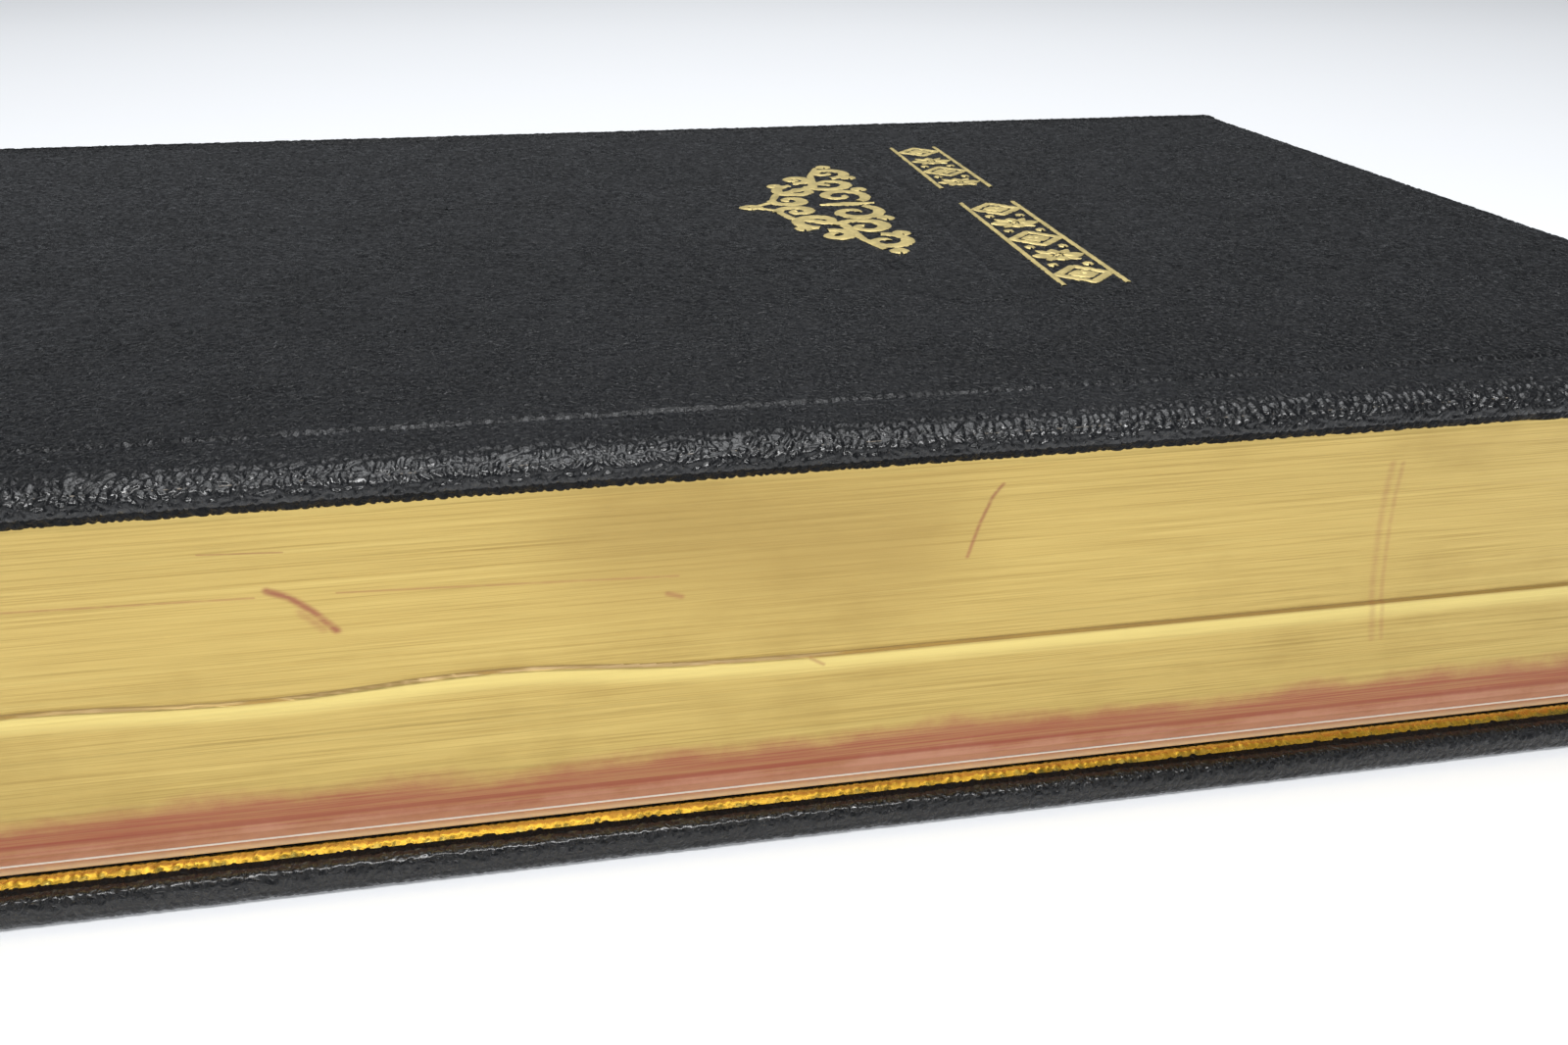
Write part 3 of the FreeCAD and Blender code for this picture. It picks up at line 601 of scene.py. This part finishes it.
def make_cover(side, fine, coarse, strips, wrinkled):
    """A cover's leather: flat strips across its face, a rim along each free edge, and the turn-ins."""
    body = f"{side}_cover"
    seed = 3 if side == "front" else 23
    flip = side == "back"
    replaced = [f"{side}_cover_leather"]
    for part, start, end, pitch in strips:
        x = steps(start, end, pitch)
        y = steps(-HEAD_Y + CREASE_INSET, HEAD_Y - CREASE_INSET, pitch)
        gx, gy = np.meshgrid(x, y, indexing="ij")
        grid = np.stack([gx, gy, panel_height(gx, gy, side, seed)], -1)
        panel = Sheets().add(face(grid, side), flip=flip).build(f"{side}_cover_{part}", LEATHER_SKIN)
        finish_piece(panel, body, "cover_leather", *replaced)
        replaced = []

    points, outward, ends = rim_path(fine, coarse)
    inset, depth, normal, travel, turned = rim_profile(fine * 1.2, ROLLS[side])
    place = points[:, None, :] - outward[:, None, :] * inset[None, :, None]
    unrolled = points[:, None, :] + outward[:, None, :] * (travel - CREASE_INSET)[None, :, None]
    along = np.concatenate([[0], np.cumsum(np.hypot(*np.diff(points, axis=0).T))])[:, None]
    u, v = unrolled[..., 0], unrolled[..., 1]
    roll = smooth_step((travel - 3.9) / 1.6) * smooth_step((12.5 - travel) / 1.5)
    bent = 0.7 * soft_noise(along / 1.5, travel / 1.1 + 0 * along, seed + 30)
    wrinkle, tone = cells(along / 0.8 + bent, travel / 1.5 + 0 * along, seed + 31)
    folds = wrinkled * (smooth_step(wrinkle / 0.5) - 1 + 0.35 * (tone - 0.5))
    height = grain(u, v, seed) * (1 - 0.8 * roll) + roll * folds
    height *= 0.25 + 0.75 * smooth_step((points[:, :1] - BOARD_X) / SPINE_FADE)
    on_line = (outward[:, 0] > 0.5)[:, None] * crease(FORE_X - inset[None, :], points[:, 1:])
    grid = np.empty(place.shape[:2] + (3,))
    grid[..., :2] = place + outward[:, None, :] * (normal[None, :, 0] * height)[..., None]
    grid[..., 2] = TOP - depth + normal[None, :, 1] * height - on_line
    grid = face(grid, side)
    down = depth[1 : turned + 1]
    outer, inner = (1, 2) if side == "front" else (0, 1)
    slots = np.where(down > ROLLS[side][1] + UNDER_FROM, inner, np.where(down > ROLL_FROM, outer, 0))
    for edge, first, last in zip(("foot", "fore", "head"), ends, ends[1:]):
        rim = Sheets().add(grid[first : last + 1, : turned + 1], flip=not flip, slot=slots)
        rim = rim.build(f"{side}_cover_rim_{edge}", LEATHER_SKIN, ROLLED_LEATHER, TURNED_LEATHER)
        finish_piece(rim, body, "cover_leather")
        if edge != "fore":
            close_end(side, edge, inset, depth)
    inner = Sheets().add(grid[:, turned:], flip=not flip).build(f"{side}_turn_in", TURNED_LEATHER)
    finish_piece(inner, body, "cover_leather")
    make_gold_line(side, points, outward, along)


def close_end(side, edge, inset, depth):
    """The leather over the spine end of a rim, from its outer face down to its inner one."""
    outer = depth <= ROLLS[side][1]
    deep = ROLLS[side][1]
    bend = np.sqrt(1 - (1 - np.clip(inset[outer] / INNER_ROLL, 0, 1)) ** 2)
    low = deep + (COVER - deep) * bend
    sign = -1 if edge == "foot" else 1
    cap = np.empty((2, len(low), 3))
    cap[..., 0] = BOARD_X
    cap[..., 1] = sign * (HEAD_Y - inset[outer])
    cap[..., 2] = TOP - np.stack([depth[outer], low])
    flip = (side == "front") == (edge == "foot")
    piece = Sheets().add(face(cap, side), flip=flip).build(f"{side}_cover_end_{edge}", TURNED_LEATHER)
    finish_piece(piece, f"{side}_cover", "cover_leather")


def make_gold_line(side, points, outward, along):
    """The gold line tooled on the turn-ins: a raised row of beads, where the foil takes the pebbles."""
    columns = np.linspace(0, 1, 13)
    inset = GILT_INSET + GOLD_LINE_SHIFT + columns * GOLD_LINE_WIDTH
    place = points[:, None, :] - outward[:, None, :] * inset[None, :, None]
    beads, tone = cells(along / 0.85, inset / 2.4 + 0 * along, 40)
    height = GOLD_LINE_RISE * np.sin(columns * math.pi) * (0.5 + 0.4 * smooth_step(beads / 0.7) + 0.1 * tone)
    grid = np.empty(place.shape[:2] + (3,))
    grid[..., :2] = place
    grid[..., 2] = TOP - COVER + 0.06 - height
    line = Sheets().add(face(grid, side), flip=side == "front").build(f"{side}_gold_line", TOOLED)
    finish_piece(line, f"{side}_cover", "gold_foil", f"{side}_gilt_line")


NEAR_X, FAR_X = FORE_X - CREASE_INSET - NEAR_STRIP, BOARD_X + FAR_STRIP
make_cover("front", 0.17, 0.45, (
    ("spine_half", BOARD_X, FAR_X, 0.42), ("fore_half", FAR_X, NEAR_X, 0.4),
    ("margin", NEAR_X, FORE_X - CREASE_INSET, 0.26),
), 0.2)
make_cover("back", 0.24, 0.6, (("panel", BOARD_X, FORE_X - CREASE_INSET, 0.62),), 0.09)


# ---- Joints and spine ----
SPINE_CORNER = 2.0
JOINT_DIP = 0.45
CAP = 3.5  # how far from head and foot the leather starts to round over
EDGE = 0.95  # how far in from head and foot its own edge is rounded
COVER_DROOP, SPINE_DROOP = 1.9, 0.8  # how far it drops there, beside a cover and on the spine
CAP_PITCH, STRIP_PITCH = 0.16, 0.5  # mesh along Y, at the rounded ends and between them
SPINE_PITCH = 0.55  # mesh round the spine


def end_rounding(y, reach):
    """1 along a strip, falling to 0 in a quarter circle at head and foot."""
    past = np.clip((np.abs(y) - (HEAD_Y - reach)) / reach, 0, 1)
    return np.sqrt(1 - past**2)


def leather_strip(outline, normals, droop):
    """Leather along Y with a pebbled outside; outline is its outer face as (x, z) places."""
    y = np.concatenate([
        steps(-HEAD_Y, -HEAD_Y + CAP, CAP_PITCH)[:-1],
        steps(-HEAD_Y + CAP, HEAD_Y - CAP, STRIP_PITCH),
        steps(HEAD_Y - CAP, HEAD_Y, CAP_PITCH)[1:],
    ])
    travel = np.concatenate([[0], np.cumsum(np.hypot(*np.diff(outline, axis=0).T))])
    u, v = np.meshgrid(travel, y, indexing="ij")
    height = grain(u + outline[0, 0], v)
    share = 0.5 + 0.5 * end_rounding(v, EDGE)
    drop = np.asarray(droop).reshape(-1, 1) * (1 - end_rounding(v, CAP))
    outer_at = height + (share - 1) * LEATHER - drop
    inner_at = -LEATHER * share - drop
    grids = []
    for at in (outer_at, inner_at):
        grid = np.empty(u.shape + (3,))
        grid[..., 0] = outline[:, None, 0] + normals[:, None, 0] * at
        grid[..., 1] = v
        grid[..., 2] = outline[:, None, 1] + normals[:, None, 1] * at
        grids.append(grid)
    outer, inner = grids
    sheets = Sheets().add(outer, flip=True).add(inner)
    for end in (0, -1):
        edge = np.stack([outer[:, end], inner[:, end]], 1)
        sheets.add(edge, flip=end == -1)
    return sheets


def outline_normals(outline):
    """Normals of an outline in the XZ plane, on the side where the first one points up."""
    run = np.gradient(outline, axis=0)
    normals = np.stack([-run[:, 1], run[:, 0]], 1)
    normals /= np.linalg.norm(normals, axis=1)[:, None]
    return normals if normals[0, 1] > 0 else -normals


JOINT_FROM = SPINE_X + SPINE_CORNER + 0.3
JOINT_TO = BOARD_X


def make_joint(side):
    x = steps(JOINT_FROM, JOINT_TO + 0.4, 0.3)
    share = np.clip((x - JOINT_FROM) / (JOINT_TO - JOINT_FROM), 0, 1)
    z = TOP - JOINT_DIP * np.sin(share * math.pi) ** 2
    outline = np.stack([x, z], 1)
    normals = outline_normals(outline)
    if side == "back":
        outline[:, 1] = TOP - outline[:, 1]
        normals[:, 1] *= -1
    droop = SPINE_DROOP + (COVER_DROOP - SPINE_DROOP) * share
    joint = leather_strip(outline, normals, droop).build(f"{side}_joint_skin", LEATHER_SKIN)
    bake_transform(joint)
    finish_piece(joint, None, "cover_leather", f"{side}_joint_leather")


def spine_arc(half):
    """The spine's arc through the leather's outer face, from the front side to the back."""
    sag = SPINE_X - SPINE_LOW[0]
    half_edge = MID_Z - LEATHER
    radius = (half_edge**2 + sag**2) / (2 * sag)
    angle = np.linspace(half / radius, -half / radius, 120)
    return np.stack([SPINE_LOW[0] + radius - radius * np.cos(angle), MID_Z + radius * np.sin(angle)], 1)


def make_spine():
    arc = spine_arc(MID_Z - LEATHER - SPINE_CORNER + 0.6)
    turn = np.linspace(math.pi / 2, math.radians(172), 14)[:-1]
    centre = np.array([SPINE_X + SPINE_CORNER, TOP - SPINE_CORNER])
    corner = centre + SPINE_CORNER * np.stack([np.cos(turn), np.sin(turn)], 1)
    lead = np.array([[JOINT_FROM + 0.5, TOP], [JOINT_FROM, TOP]])
    upper = np.concatenate([lead, corner])
    lower = upper[::-1] * [1, -1] + [0, TOP]
    outline = np.concatenate([upper, arc, lower])
    travel = np.concatenate([[0], np.cumsum(np.hypot(*np.diff(outline, axis=0).T))])
    even = steps(0, travel[-1], SPINE_PITCH)
    outline = np.stack([np.interp(even, travel, outline[:, k]) for k in (0, 1)], 1)
    normals = outline_normals(outline)
    spine = leather_strip(outline, normals, SPINE_DROOP).build("spine_skin", LEATHER_SKIN)
    finish_piece(spine, "text_block", "cover_leather", "spine_leather")


def make_endpaper_hinge(side):
    """The endpaper's fold that crosses the joint, from the pastedown to the margin of the first leaves."""
    top_of_block = BLOCK_TOP if side == "front" else TOP - BLOCK_BASE
    inside = TOP - COVER
    knots = np.array([
        [BOARD_X + 6, inside - 0.03], [BOARD_X + 2, inside - 0.04], [BOARD_X - 0.6, inside - 0.05],
        [BOARD_X - 2.4, (inside + top_of_block) / 2], [MARGIN_LOW[0] + 1.2, top_of_block + 0.03],
        [MARGIN_LOW[0] + 0.2, top_of_block + 0.03],
    ])
    travel = np.concatenate([[0], np.cumsum(np.hypot(*np.diff(knots, axis=0).T))])
    even = steps(0, travel[-1], 0.35)
    line = np.stack([np.interp(even, travel, knots[:, k]) for k in (0, 1)], 1)
    y = steps(-PAGE_Y, PAGE_Y, 6)
    grids = []
    for drop in (0.0, 0.1):
        grid = np.empty((len(line), len(y), 3))
        grid[..., 0], grid[..., 1], grid[..., 2] = line[:, :1], y[None, :], line[:, 1:] - drop
        grids.append(face(grid, side))
    sheets = Sheets().add(grids[0], flip=side == "front").add(grids[1], flip=side == "back")
    hinge = sheets.build(f"{side}_endpaper_hinge", ENDPAPER)
    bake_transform(hinge)
    finish_piece(hinge, None, "endpaper", f"{side}_hinge_cloth")


# ---- Leaves ----
def page_outline(pitch):
    """Half an outline of a leaf: from the fold at the foot round the fore-edge to the fold at the head."""
    corner_x, corner_y = PAGE_WIDTH - PAGE_CORNER, PAGE_Y - PAGE_CORNER
    x = steps(0, corner_x, 2.2)
    side = np.stack([x, np.full(len(x), -PAGE_Y)], 1)
    turn = np.linspace(-math.pi / 2, 0, 14)[1:-1]
    ring = PAGE_CORNER * np.stack([np.cos(turn), np.sin(turn)], 1)
    run = steps(-corner_y, corner_y, pitch)
    fore = np.stack([np.full(len(run), PAGE_WIDTH), run], 1)
    foot_corner = ring + [corner_x, -corner_y]
    points = np.concatenate([side, foot_corner, fore, foot_corner[::-1] * [1, -1], side[::-1] * [1, -1]])
    outward = np.concatenate([
        np.tile([0.0, -1.0], (len(side), 1)), ring / PAGE_CORNER, np.tile([1.0, 0.0], (len(run), 1)),
        ring[::-1] / PAGE_CORNER * [1, -1], np.tile([0.0, 1.0], (len(side), 1)),
    ])
    return points, outward


LEAF_PITCH = 0.125


def make_block():
    """The sewn leaves: edges with single leaves standing in and out a little, folds at the spine."""
    points, outward = page_outline(1.6)
    z = steps(SEWN_BASE, SEWN_TOP, LEAF_PITCH)
    centres = np.array([(low[2] + high[2]) / 2 for low, high in SECTION_BOXES])[::-1]
    folds = np.array([low[0] for low, high in SECTION_BOXES])[::-1]
    fronts = np.array([high[0] for low, high in SECTION_BOXES])[::-1]
    shelf = (fronts - folds).max() - PAGE_WIDTH
    fold = np.interp(z, centres, folds)
    rng = np.random.default_rng(11)
    leaf = np.convolve(rng.normal(0, 1, len(z) + 8), np.ones(2) / 2, "same")[4:-4]
    groups = steps(SEWN_BASE, SEWN_TOP, 1.2)
    band = np.interp(z, groups, rng.normal(0, 1, len(groups)))
    along = np.concatenate([[0], np.cumsum(np.hypot(*np.diff(points, axis=0).T))])
    a, b = np.meshgrid(z, along, indexing="ij")
    drift = soft_noise(b / 38, a / 0.33, 50) * 0.016 + soft_noise(b / 70, a / 2.4, 51) * 0.03
    out = leaf[:, None] * 0.012 + band[:, None] * 0.012 + drift - 0.03
    below_step = step_height(points[None, :, 1]) - z[:, None]
    stands_out = shelf * smooth_step(below_step / LEAF_PITCH)
    out -= 0.05 * np.exp(-(((below_step + 0.1) / 0.2) ** 2))
    grid = np.empty(a.shape + (3,))
    grid[..., 0] = fold[:, None] + points[None, :, 0] + outward[None, :, 0] * (out + stands_out)
    grid[..., 1] = points[None, :, 1] + outward[None, :, 1] * out
    grid[..., 2] = a
    block = Sheets().add(grid, flip=True)
    # folds
    inside = np.abs((z - SEWN_BASE) % SECTION - SECTION / 2)
    bend = SECTION * 0.49
    tuck = bend - np.sqrt(np.clip(bend**2 - np.minimum(inside, bend * 0.97) ** 2, 0, None))
    y = steps(-PAGE_Y, PAGE_Y, 12)
    back = np.empty((len(z), len(y), 3))
    back[..., 0], back[..., 1], back[..., 2] = (fold + tuck)[:, None], y[None, :], z[:, None]
    block.add(back, slot=1)
    # top and base leaves, as strips from the foot edge to the head edge
    half = len(points) // 2
    for row, flip in ((len(z) - 1, False), (0, True)):
        foot, head = grid[row, :half], grid[row, ::-1][:half]
        share = np.linspace(0, 1, 24)[None, :, None]
        block.add(foot[:, None] * (1 - share) + head[:, None] * share, flip=flip, slot=1)
    made = block.build("sewn_leaves", GILT, LEAF_PAPER, sharp=50)
    finish_piece(made, "text_block", "leaves", *SECTIONS, "front_tipped_margin", "back_tipped_margin")


BEND = 11.0  # length beside a loose leaf's margin over which its mesh is finer


def make_leaf(node, paper, slot):
    """A loose leaf group as a flat slab: from its margin at the block to its rounded fore-edge, with a finer
    mesh beside the margin.
    """
    side = node.split("_")[0]
    low, high = node_box(node)
    x = np.concatenate([steps(MARGIN_LOW[0] + 0.1, low[0], 1.2)[:-1], steps(low[0], low[0] + BEND, 0.8)[:-1],
                        steps(low[0] + BEND, high[0] - PAGE_CORNER, 5)[:-1],
                        high[0] - PAGE_CORNER * (1 - np.sin(np.linspace(0, math.pi / 2, 14)))])
    past = np.clip((x - (high[0] - PAGE_CORNER)) / PAGE_CORNER, 0, 1)
    half = PAGE_Y - PAGE_CORNER * (1 - np.sqrt(1 - past**2 * 0.9999))
    seed = sum(map(ord, node))
    share = np.linspace(-1, 1, 40)
    grids = []
    for z in (high[2], low[2]):
        grid = np.empty((len(x), len(share), 3))
        grid[..., 0] = x[:, None] + 0 * share
        grid[..., 1] = half[:, None] * share
        grid[..., 2] = z
        grids.append(grid)
    top, base = grids
    top[-1, :, 0] += 0.03 * soft_noise(x[-1] / 40, 0, seed)
    sheets = Sheets().add(top, slot=1).add(base, flip=True, slot=1)
    edges = [np.stack([top[:, 0], base[:, 0]], 1), np.stack([top[:, -1], base[:, -1]], 1)]
    sheets.add(edges[0]).add(edges[1], flip=True)
    sheets.add(np.stack([top[-1], base[-1]], 1)).add(np.stack([top[0], base[0]], 1), flip=True)
    leaf = sheets.build(node + "_sheet", GILT, paper, sharp=40)
    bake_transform(leaf)
    finish_piece(leaf, None, slot, node)


# ---- Headbands ----
def make_headband(node, sign):
    """A round core bent over the spine, wound with silk in two colours."""
    radius = 0.95
    half = (BLOCK_TOP - BLOCK_BASE) / 2 - 1.2
    sections = np.array([b[0][0] for b in SECTION_BOXES])
    sag = sections.max() - sections.min()
    curve = (half**2 + sag**2) / (2 * sag)
    angle = np.linspace(-half / curve, half / curve, 620)
    centre_x = sections.min() + radius - 0.1 + curve
    around = np.linspace(0, 2 * math.pi, 14, endpoint=False)
    turn = angle * curve
    swell = radius * (1 + 0.07 * np.cos(turn * 2 * math.pi / 0.42))[:, None]
    taper = np.clip((half - np.abs(turn)) / 0.5, 0.05, 1)[:, None] ** 0.5
    grid = np.empty((len(angle), len(around), 3))
    out = -(curve) + swell * taper * np.cos(around)[None, :]
    grid[..., 0] = centre_x + out * np.cos(angle)[:, None]
    grid[..., 1] = sign * (PAGE_Y + radius) + swell * taper * np.sin(around)[None, :]
    grid[..., 2] = MID_Z - out * np.sin(angle)[:, None]
    band = Sheets().add(grid, wrap=True).build(node + "_silk", BANDING)
    finish_piece(band, "text_block", "headband_cloth", node)


for one_side in ("front", "back"):
    make_joint(one_side)
    make_endpaper_hinge(one_side)
make_spine()
make_block()
for node_name in sorted(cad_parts):
    if "_leaf_" in node_name:
        make_leaf(node_name, LEAF_PAPER, "leaves")
    elif node_name.endswith("_flyleaf"):
        make_leaf(node_name, ENDPAPER, "endpaper")
make_headband("headband", 1)
make_headband("tailband", -1)

# ---- Gold stamping ----
FOIL_STEP = 0.4


def stamped(sheets, line, width):
    """Adds a gold ribbon along a line on the front cover, following the leather but smoother than it."""
    line = np.asarray(line, float)
    travel = np.concatenate([[0], np.cumsum(np.hypot(*np.diff(line, axis=0).T))])
    even = steps(0, travel[-1], FOIL_STEP)
    x, y = (np.interp(even, travel, line[:, k]) for k in (0, 1))
    run = np.stack([np.gradient(x), np.gradient(y)], 1)
    run /= np.linalg.norm(run, axis=1)[:, None] + 1e-9
    offsets = np.linspace(-0.5, 0.5, 7)
    widths = np.interp(even / travel[-1], np.linspace(0, 1, len(np.atleast_1d(width))), np.atleast_1d(width))
    gx = x[:, None] - run[:, 1:] * offsets * widths[:, None]
    gy = y[:, None] + run[:, :1] * offsets * widths[:, None]
    crown = 0.07 * (1 - (2 * offsets) ** 2) - 0.06 * (np.abs(offsets) > 0.49)
    gz = TOP + 0.4 * grain(gx, gy) + 0.03 + crown
    sheets.add(np.stack([gx, gy, gz], -1), flip=True)


def ring(cx, cy, rx, ry, count):
    angle = np.linspace(0, 2 * math.pi, count)
    return np.stack([cx + rx * np.cos(angle), cy + ry * np.sin(angle)], 1)


def petal(sheets, x, y, angle, start, length, width):
    """A filled petal that points away from a centre."""
    share = np.linspace(start, start + length, 8)
    line = np.stack([x + share * math.cos(angle), y + share * math.sin(angle)], 1)
    stamped(sheets, line, [0.12, 0.75 * width, width, 0.8 * width, 0.12])


def quatrefoil(sheets, x, y, half):
    """Four petals in a cross, four small ones between them, and a bead in the middle."""
    for quarter in range(4):
        angle = quarter * math.pi / 2
        reach = half if quarter % 2 else QUATREFOIL_HALF_WIDTH
        petal(sheets, x, y, angle, 0.7, reach - 1.5, 2.3)
        petal(sheets, x, y, angle + math.pi / 4, 0.9, 2.3, 1.3)
    stamped(sheets, ring(x, y, 0.3, 0.3, count=12), 0.6)


def lozenge(sheets, x, y, half_x, half_y, width):
    corners = np.array([[-half_x, 0], [0, half_y], [half_x, 0], [0, -half_y], [-half_x, 0]])
    stamped(sheets, corners + [x, y], width)


QUATREFOIL_HALF_WIDTH = 3.3
MARK_PLACES = [-4.6, -3.6, -2.6, -1.6, 0.6, 1.6, 2.6, 3.6, 4.6]  # in pitches from the band's middle


def make_band():
    """A border in two groups: nested lozenges and quatrefoils by turns, with small beads between them."""
    sheets = Sheets()
    middle_y = (BAND_LOW[1] + BAND_HIGH[1]) / 2
    half = (BAND_HIGH[1] - BAND_LOW[1]) / 2
    pitch = (BAND_HIGH[0] - BAND_LOW[0]) / 10.35
    centre = (BAND_LOW[0] + BAND_HIGH[0]) / 2
    for count, place in enumerate(MARK_PLACES):
        x = centre + place * pitch
        if count % 2:
            quatrefoil(sheets, x, middle_y, half)
        else:
            lozenge(sheets, x, middle_y, 0.40 * pitch, half - 0.9, 1.15)
            lozenge(sheets, x, middle_y, 0.12 * pitch, 0.3 * half, 1.5)
        if place + 1 in MARK_PLACES:
            for end in (-1, 1):
                stamped(sheets, ring(x + pitch / 2, middle_y + end * (half - 2.0), 0.4, 0.4, count=12), 0.8)
    for first, last in ((0, 3), (4, 8)):
        for end in (-1, 1):
            y = middle_y + end * (half - 0.25)
            left = centre + (MARK_PLACES[first] - 0.5) * pitch
            right = centre + (MARK_PLACES[last] + 0.5) * pitch
            stamped(sheets, [[left, y], [right, y]], 0.75)
    finish_piece(sheets.build("title_band_gold", FOIL), "front_cover", "gold_foil", "title_band_foil")


SCROLL_TURNS = 1.35


def scroll(cx, cy, size, turn, hand):
    """A spiral scroll that unwinds from its eye."""
    share = np.linspace(0.12, 1, 60)
    angle = turn + hand * share * SCROLL_TURNS * 2 * math.pi
    return np.stack([cx + size * share * np.cos(angle), cy + size * share * np.sin(angle)], 1)


def make_ornament():
    """A symmetrical spray of scrolls over a pendant."""
    sheets = Sheets()
    cx = (ORNAMENT_LOW[0] + ORNAMENT_HIGH[0]) / 2
    top = ORNAMENT_HIGH[1]
    for hand in (-1, 1):
        for dx, dy, size, turn in (
            (5.2, -4.4, 4.3, 0.4), (13.6, -4.6, 4.1, 2.2), (21.6, -3.6, 3.7, 0.9), (9.6, -10.4, 3.8, 3.9),
            (17.4, -9.6, 2.6, 1.2), (3.4, -12.6, 2.9, 2.6),
        ):
            turn = turn if hand > 0 else math.pi - turn
            stamped(sheets, scroll(cx + hand * dx, top + dy, size, turn, hand), [1.1, 2.1, 1.6])
        for dx, dy in ((26.6, -3.0), (13.4, -13.4), (9.2, -0.6), (17.8, -0.5)):
            stamped(sheets, ring(cx + hand * dx, top + dy, 0.7, 0.7, count=16), 1.35)
        bends = ((0, 19.2), (2.4, 15.6), (7.4, 14.2), (12, 7.4), (20, 6.4), (25.6, 4.6))
        stem = [[cx + hand * out, top - down] for out, down in bends]
        stamped(sheets, stem, [0.7, 1.7, 0.9])
    stamped(sheets, [[cx, top - 0.2], [cx, top - 8.6]], [0.5, 2.6, 0.5])
    stamped(sheets, ring(cx, top - 19.0, 0.8, 1.3, count=20), 1.2)
    finish_piece(sheets.build("ornament_gold", FOIL), "front_cover", "gold_foil", "ornament_foil")


make_band()
make_ornament()

# ---- CAD nodes that stay, with their materials ----
KEPT = {
    "front_board": BOARD, "back_board": BOARD, "front_board_infill": BOARD, "back_board_infill": BOARD,
    "front_pastedown": ENDPAPER, "back_pastedown": ENDPAPER, "spine_stiffener": CARD, "hollow_tube": KRAFT,
    "spine_lining": KRAFT, "mull": MULL, "sewing_tapes": TAPE, "sewing_thread": THREAD,
}
for node_name, look in KEPT.items():
    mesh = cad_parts[node_name].data
    mesh.materials.clear()
    mesh.materials.append(look)

# ---- Floor, light, camera ----
HORIZON_GLOW, SKY_GLOW = 0.62, 0.13  # the room's brightness at the horizon and above it
HORIZON_REACH = 0.24  # height of the view direction at which the room has faded to its upper brightness


def make_stage():
    bpy.ops.mesh.primitive_plane_add(size=16.0, location=(0, 0, 0))
    ground = bpy.context.object
    ground.name = "floor"
    ground.data.materials.append(floor_material("pale_floor"))
    world = bpy.data.worlds.new("pale_room")
    bpy.context.scene.world = world
    world.use_nodes = True
    tree = world.node_tree
    background = tree.nodes["Background"]
    background.inputs["Color"].default_value = (0.90, 0.94, 1.0, 1)
    direction = tree.nodes.new("ShaderNodeTexCoord").outputs["Generated"]
    split = tree.nodes.new("ShaderNodeSeparateXYZ")
    tree.links.new(direction, split.inputs[0])
    fade = tree.nodes.new("ShaderNodeMapRange")
    tree.links.new(split.outputs["Z"], fade.inputs["Value"])
    settings = {"From Min": 0.0, "From Max": HORIZON_REACH, "To Min": HORIZON_GLOW, "To Max": SKY_GLOW}
    for name, value in settings.items():
        fade.inputs[name].default_value = value
    tree.links.new(fade.outputs["Result"], background.inputs["Strength"])


def area_light(name, place, target, size, power, colour=(1, 1, 1)):
    light = bpy.data.lights.new(name, "AREA")
    light.shape = "RECTANGLE"
    light.size, light.size_y = size
    light.energy = power
    light.color = colour
    lamp = bpy.data.objects.new(name, light)
    lamp.location = place
    lamp.rotation_euler = (Vector(target) - Vector(place)).to_track_quat("-Z", "Y").to_euler()
    bpy.context.scene.collection.objects.link(lamp)


CAMERA_PLACE = (FORE_X + 85.7, -10.0, 86.4)
CAMERA_TURN, CAMERA_DIP = math.radians(9.16), math.radians(28.92)
FOCAL = 25.875  # on the 36 mm wide sensor that a new camera has


def make_camera():
    data = bpy.data.cameras.new("camera")
    data.lens = FOCAL
    data.clip_start, data.clip_end = 0.002, 20
    camera = bpy.data.objects.new("camera", data)
    level = math.cos(CAMERA_DIP)
    ahead = Vector((-level * math.cos(CAMERA_TURN), level * math.sin(CAMERA_TURN), -math.sin(CAMERA_DIP)))
    camera.location = Vector(CAMERA_PLACE) * MM
    camera.rotation_euler = ahead.to_track_quat("-Z", "Y").to_euler()
    bpy.context.scene.collection.objects.link(camera)
    bpy.context.scene.camera = camera


make_stage()
area_light("ceiling", (-0.4, 0, 1.5), (-0.4, 0, 0), (1.0, 1.0), 14.5, (0.97, 0.985, 1.0))
area_light("window", (0.34, -0.06, 0.50), (0.06, 0, 0.04), (0.5, 0.04), 2.5)
make_camera()
bpy.context.scene.view_settings.view_transform = "Standard"
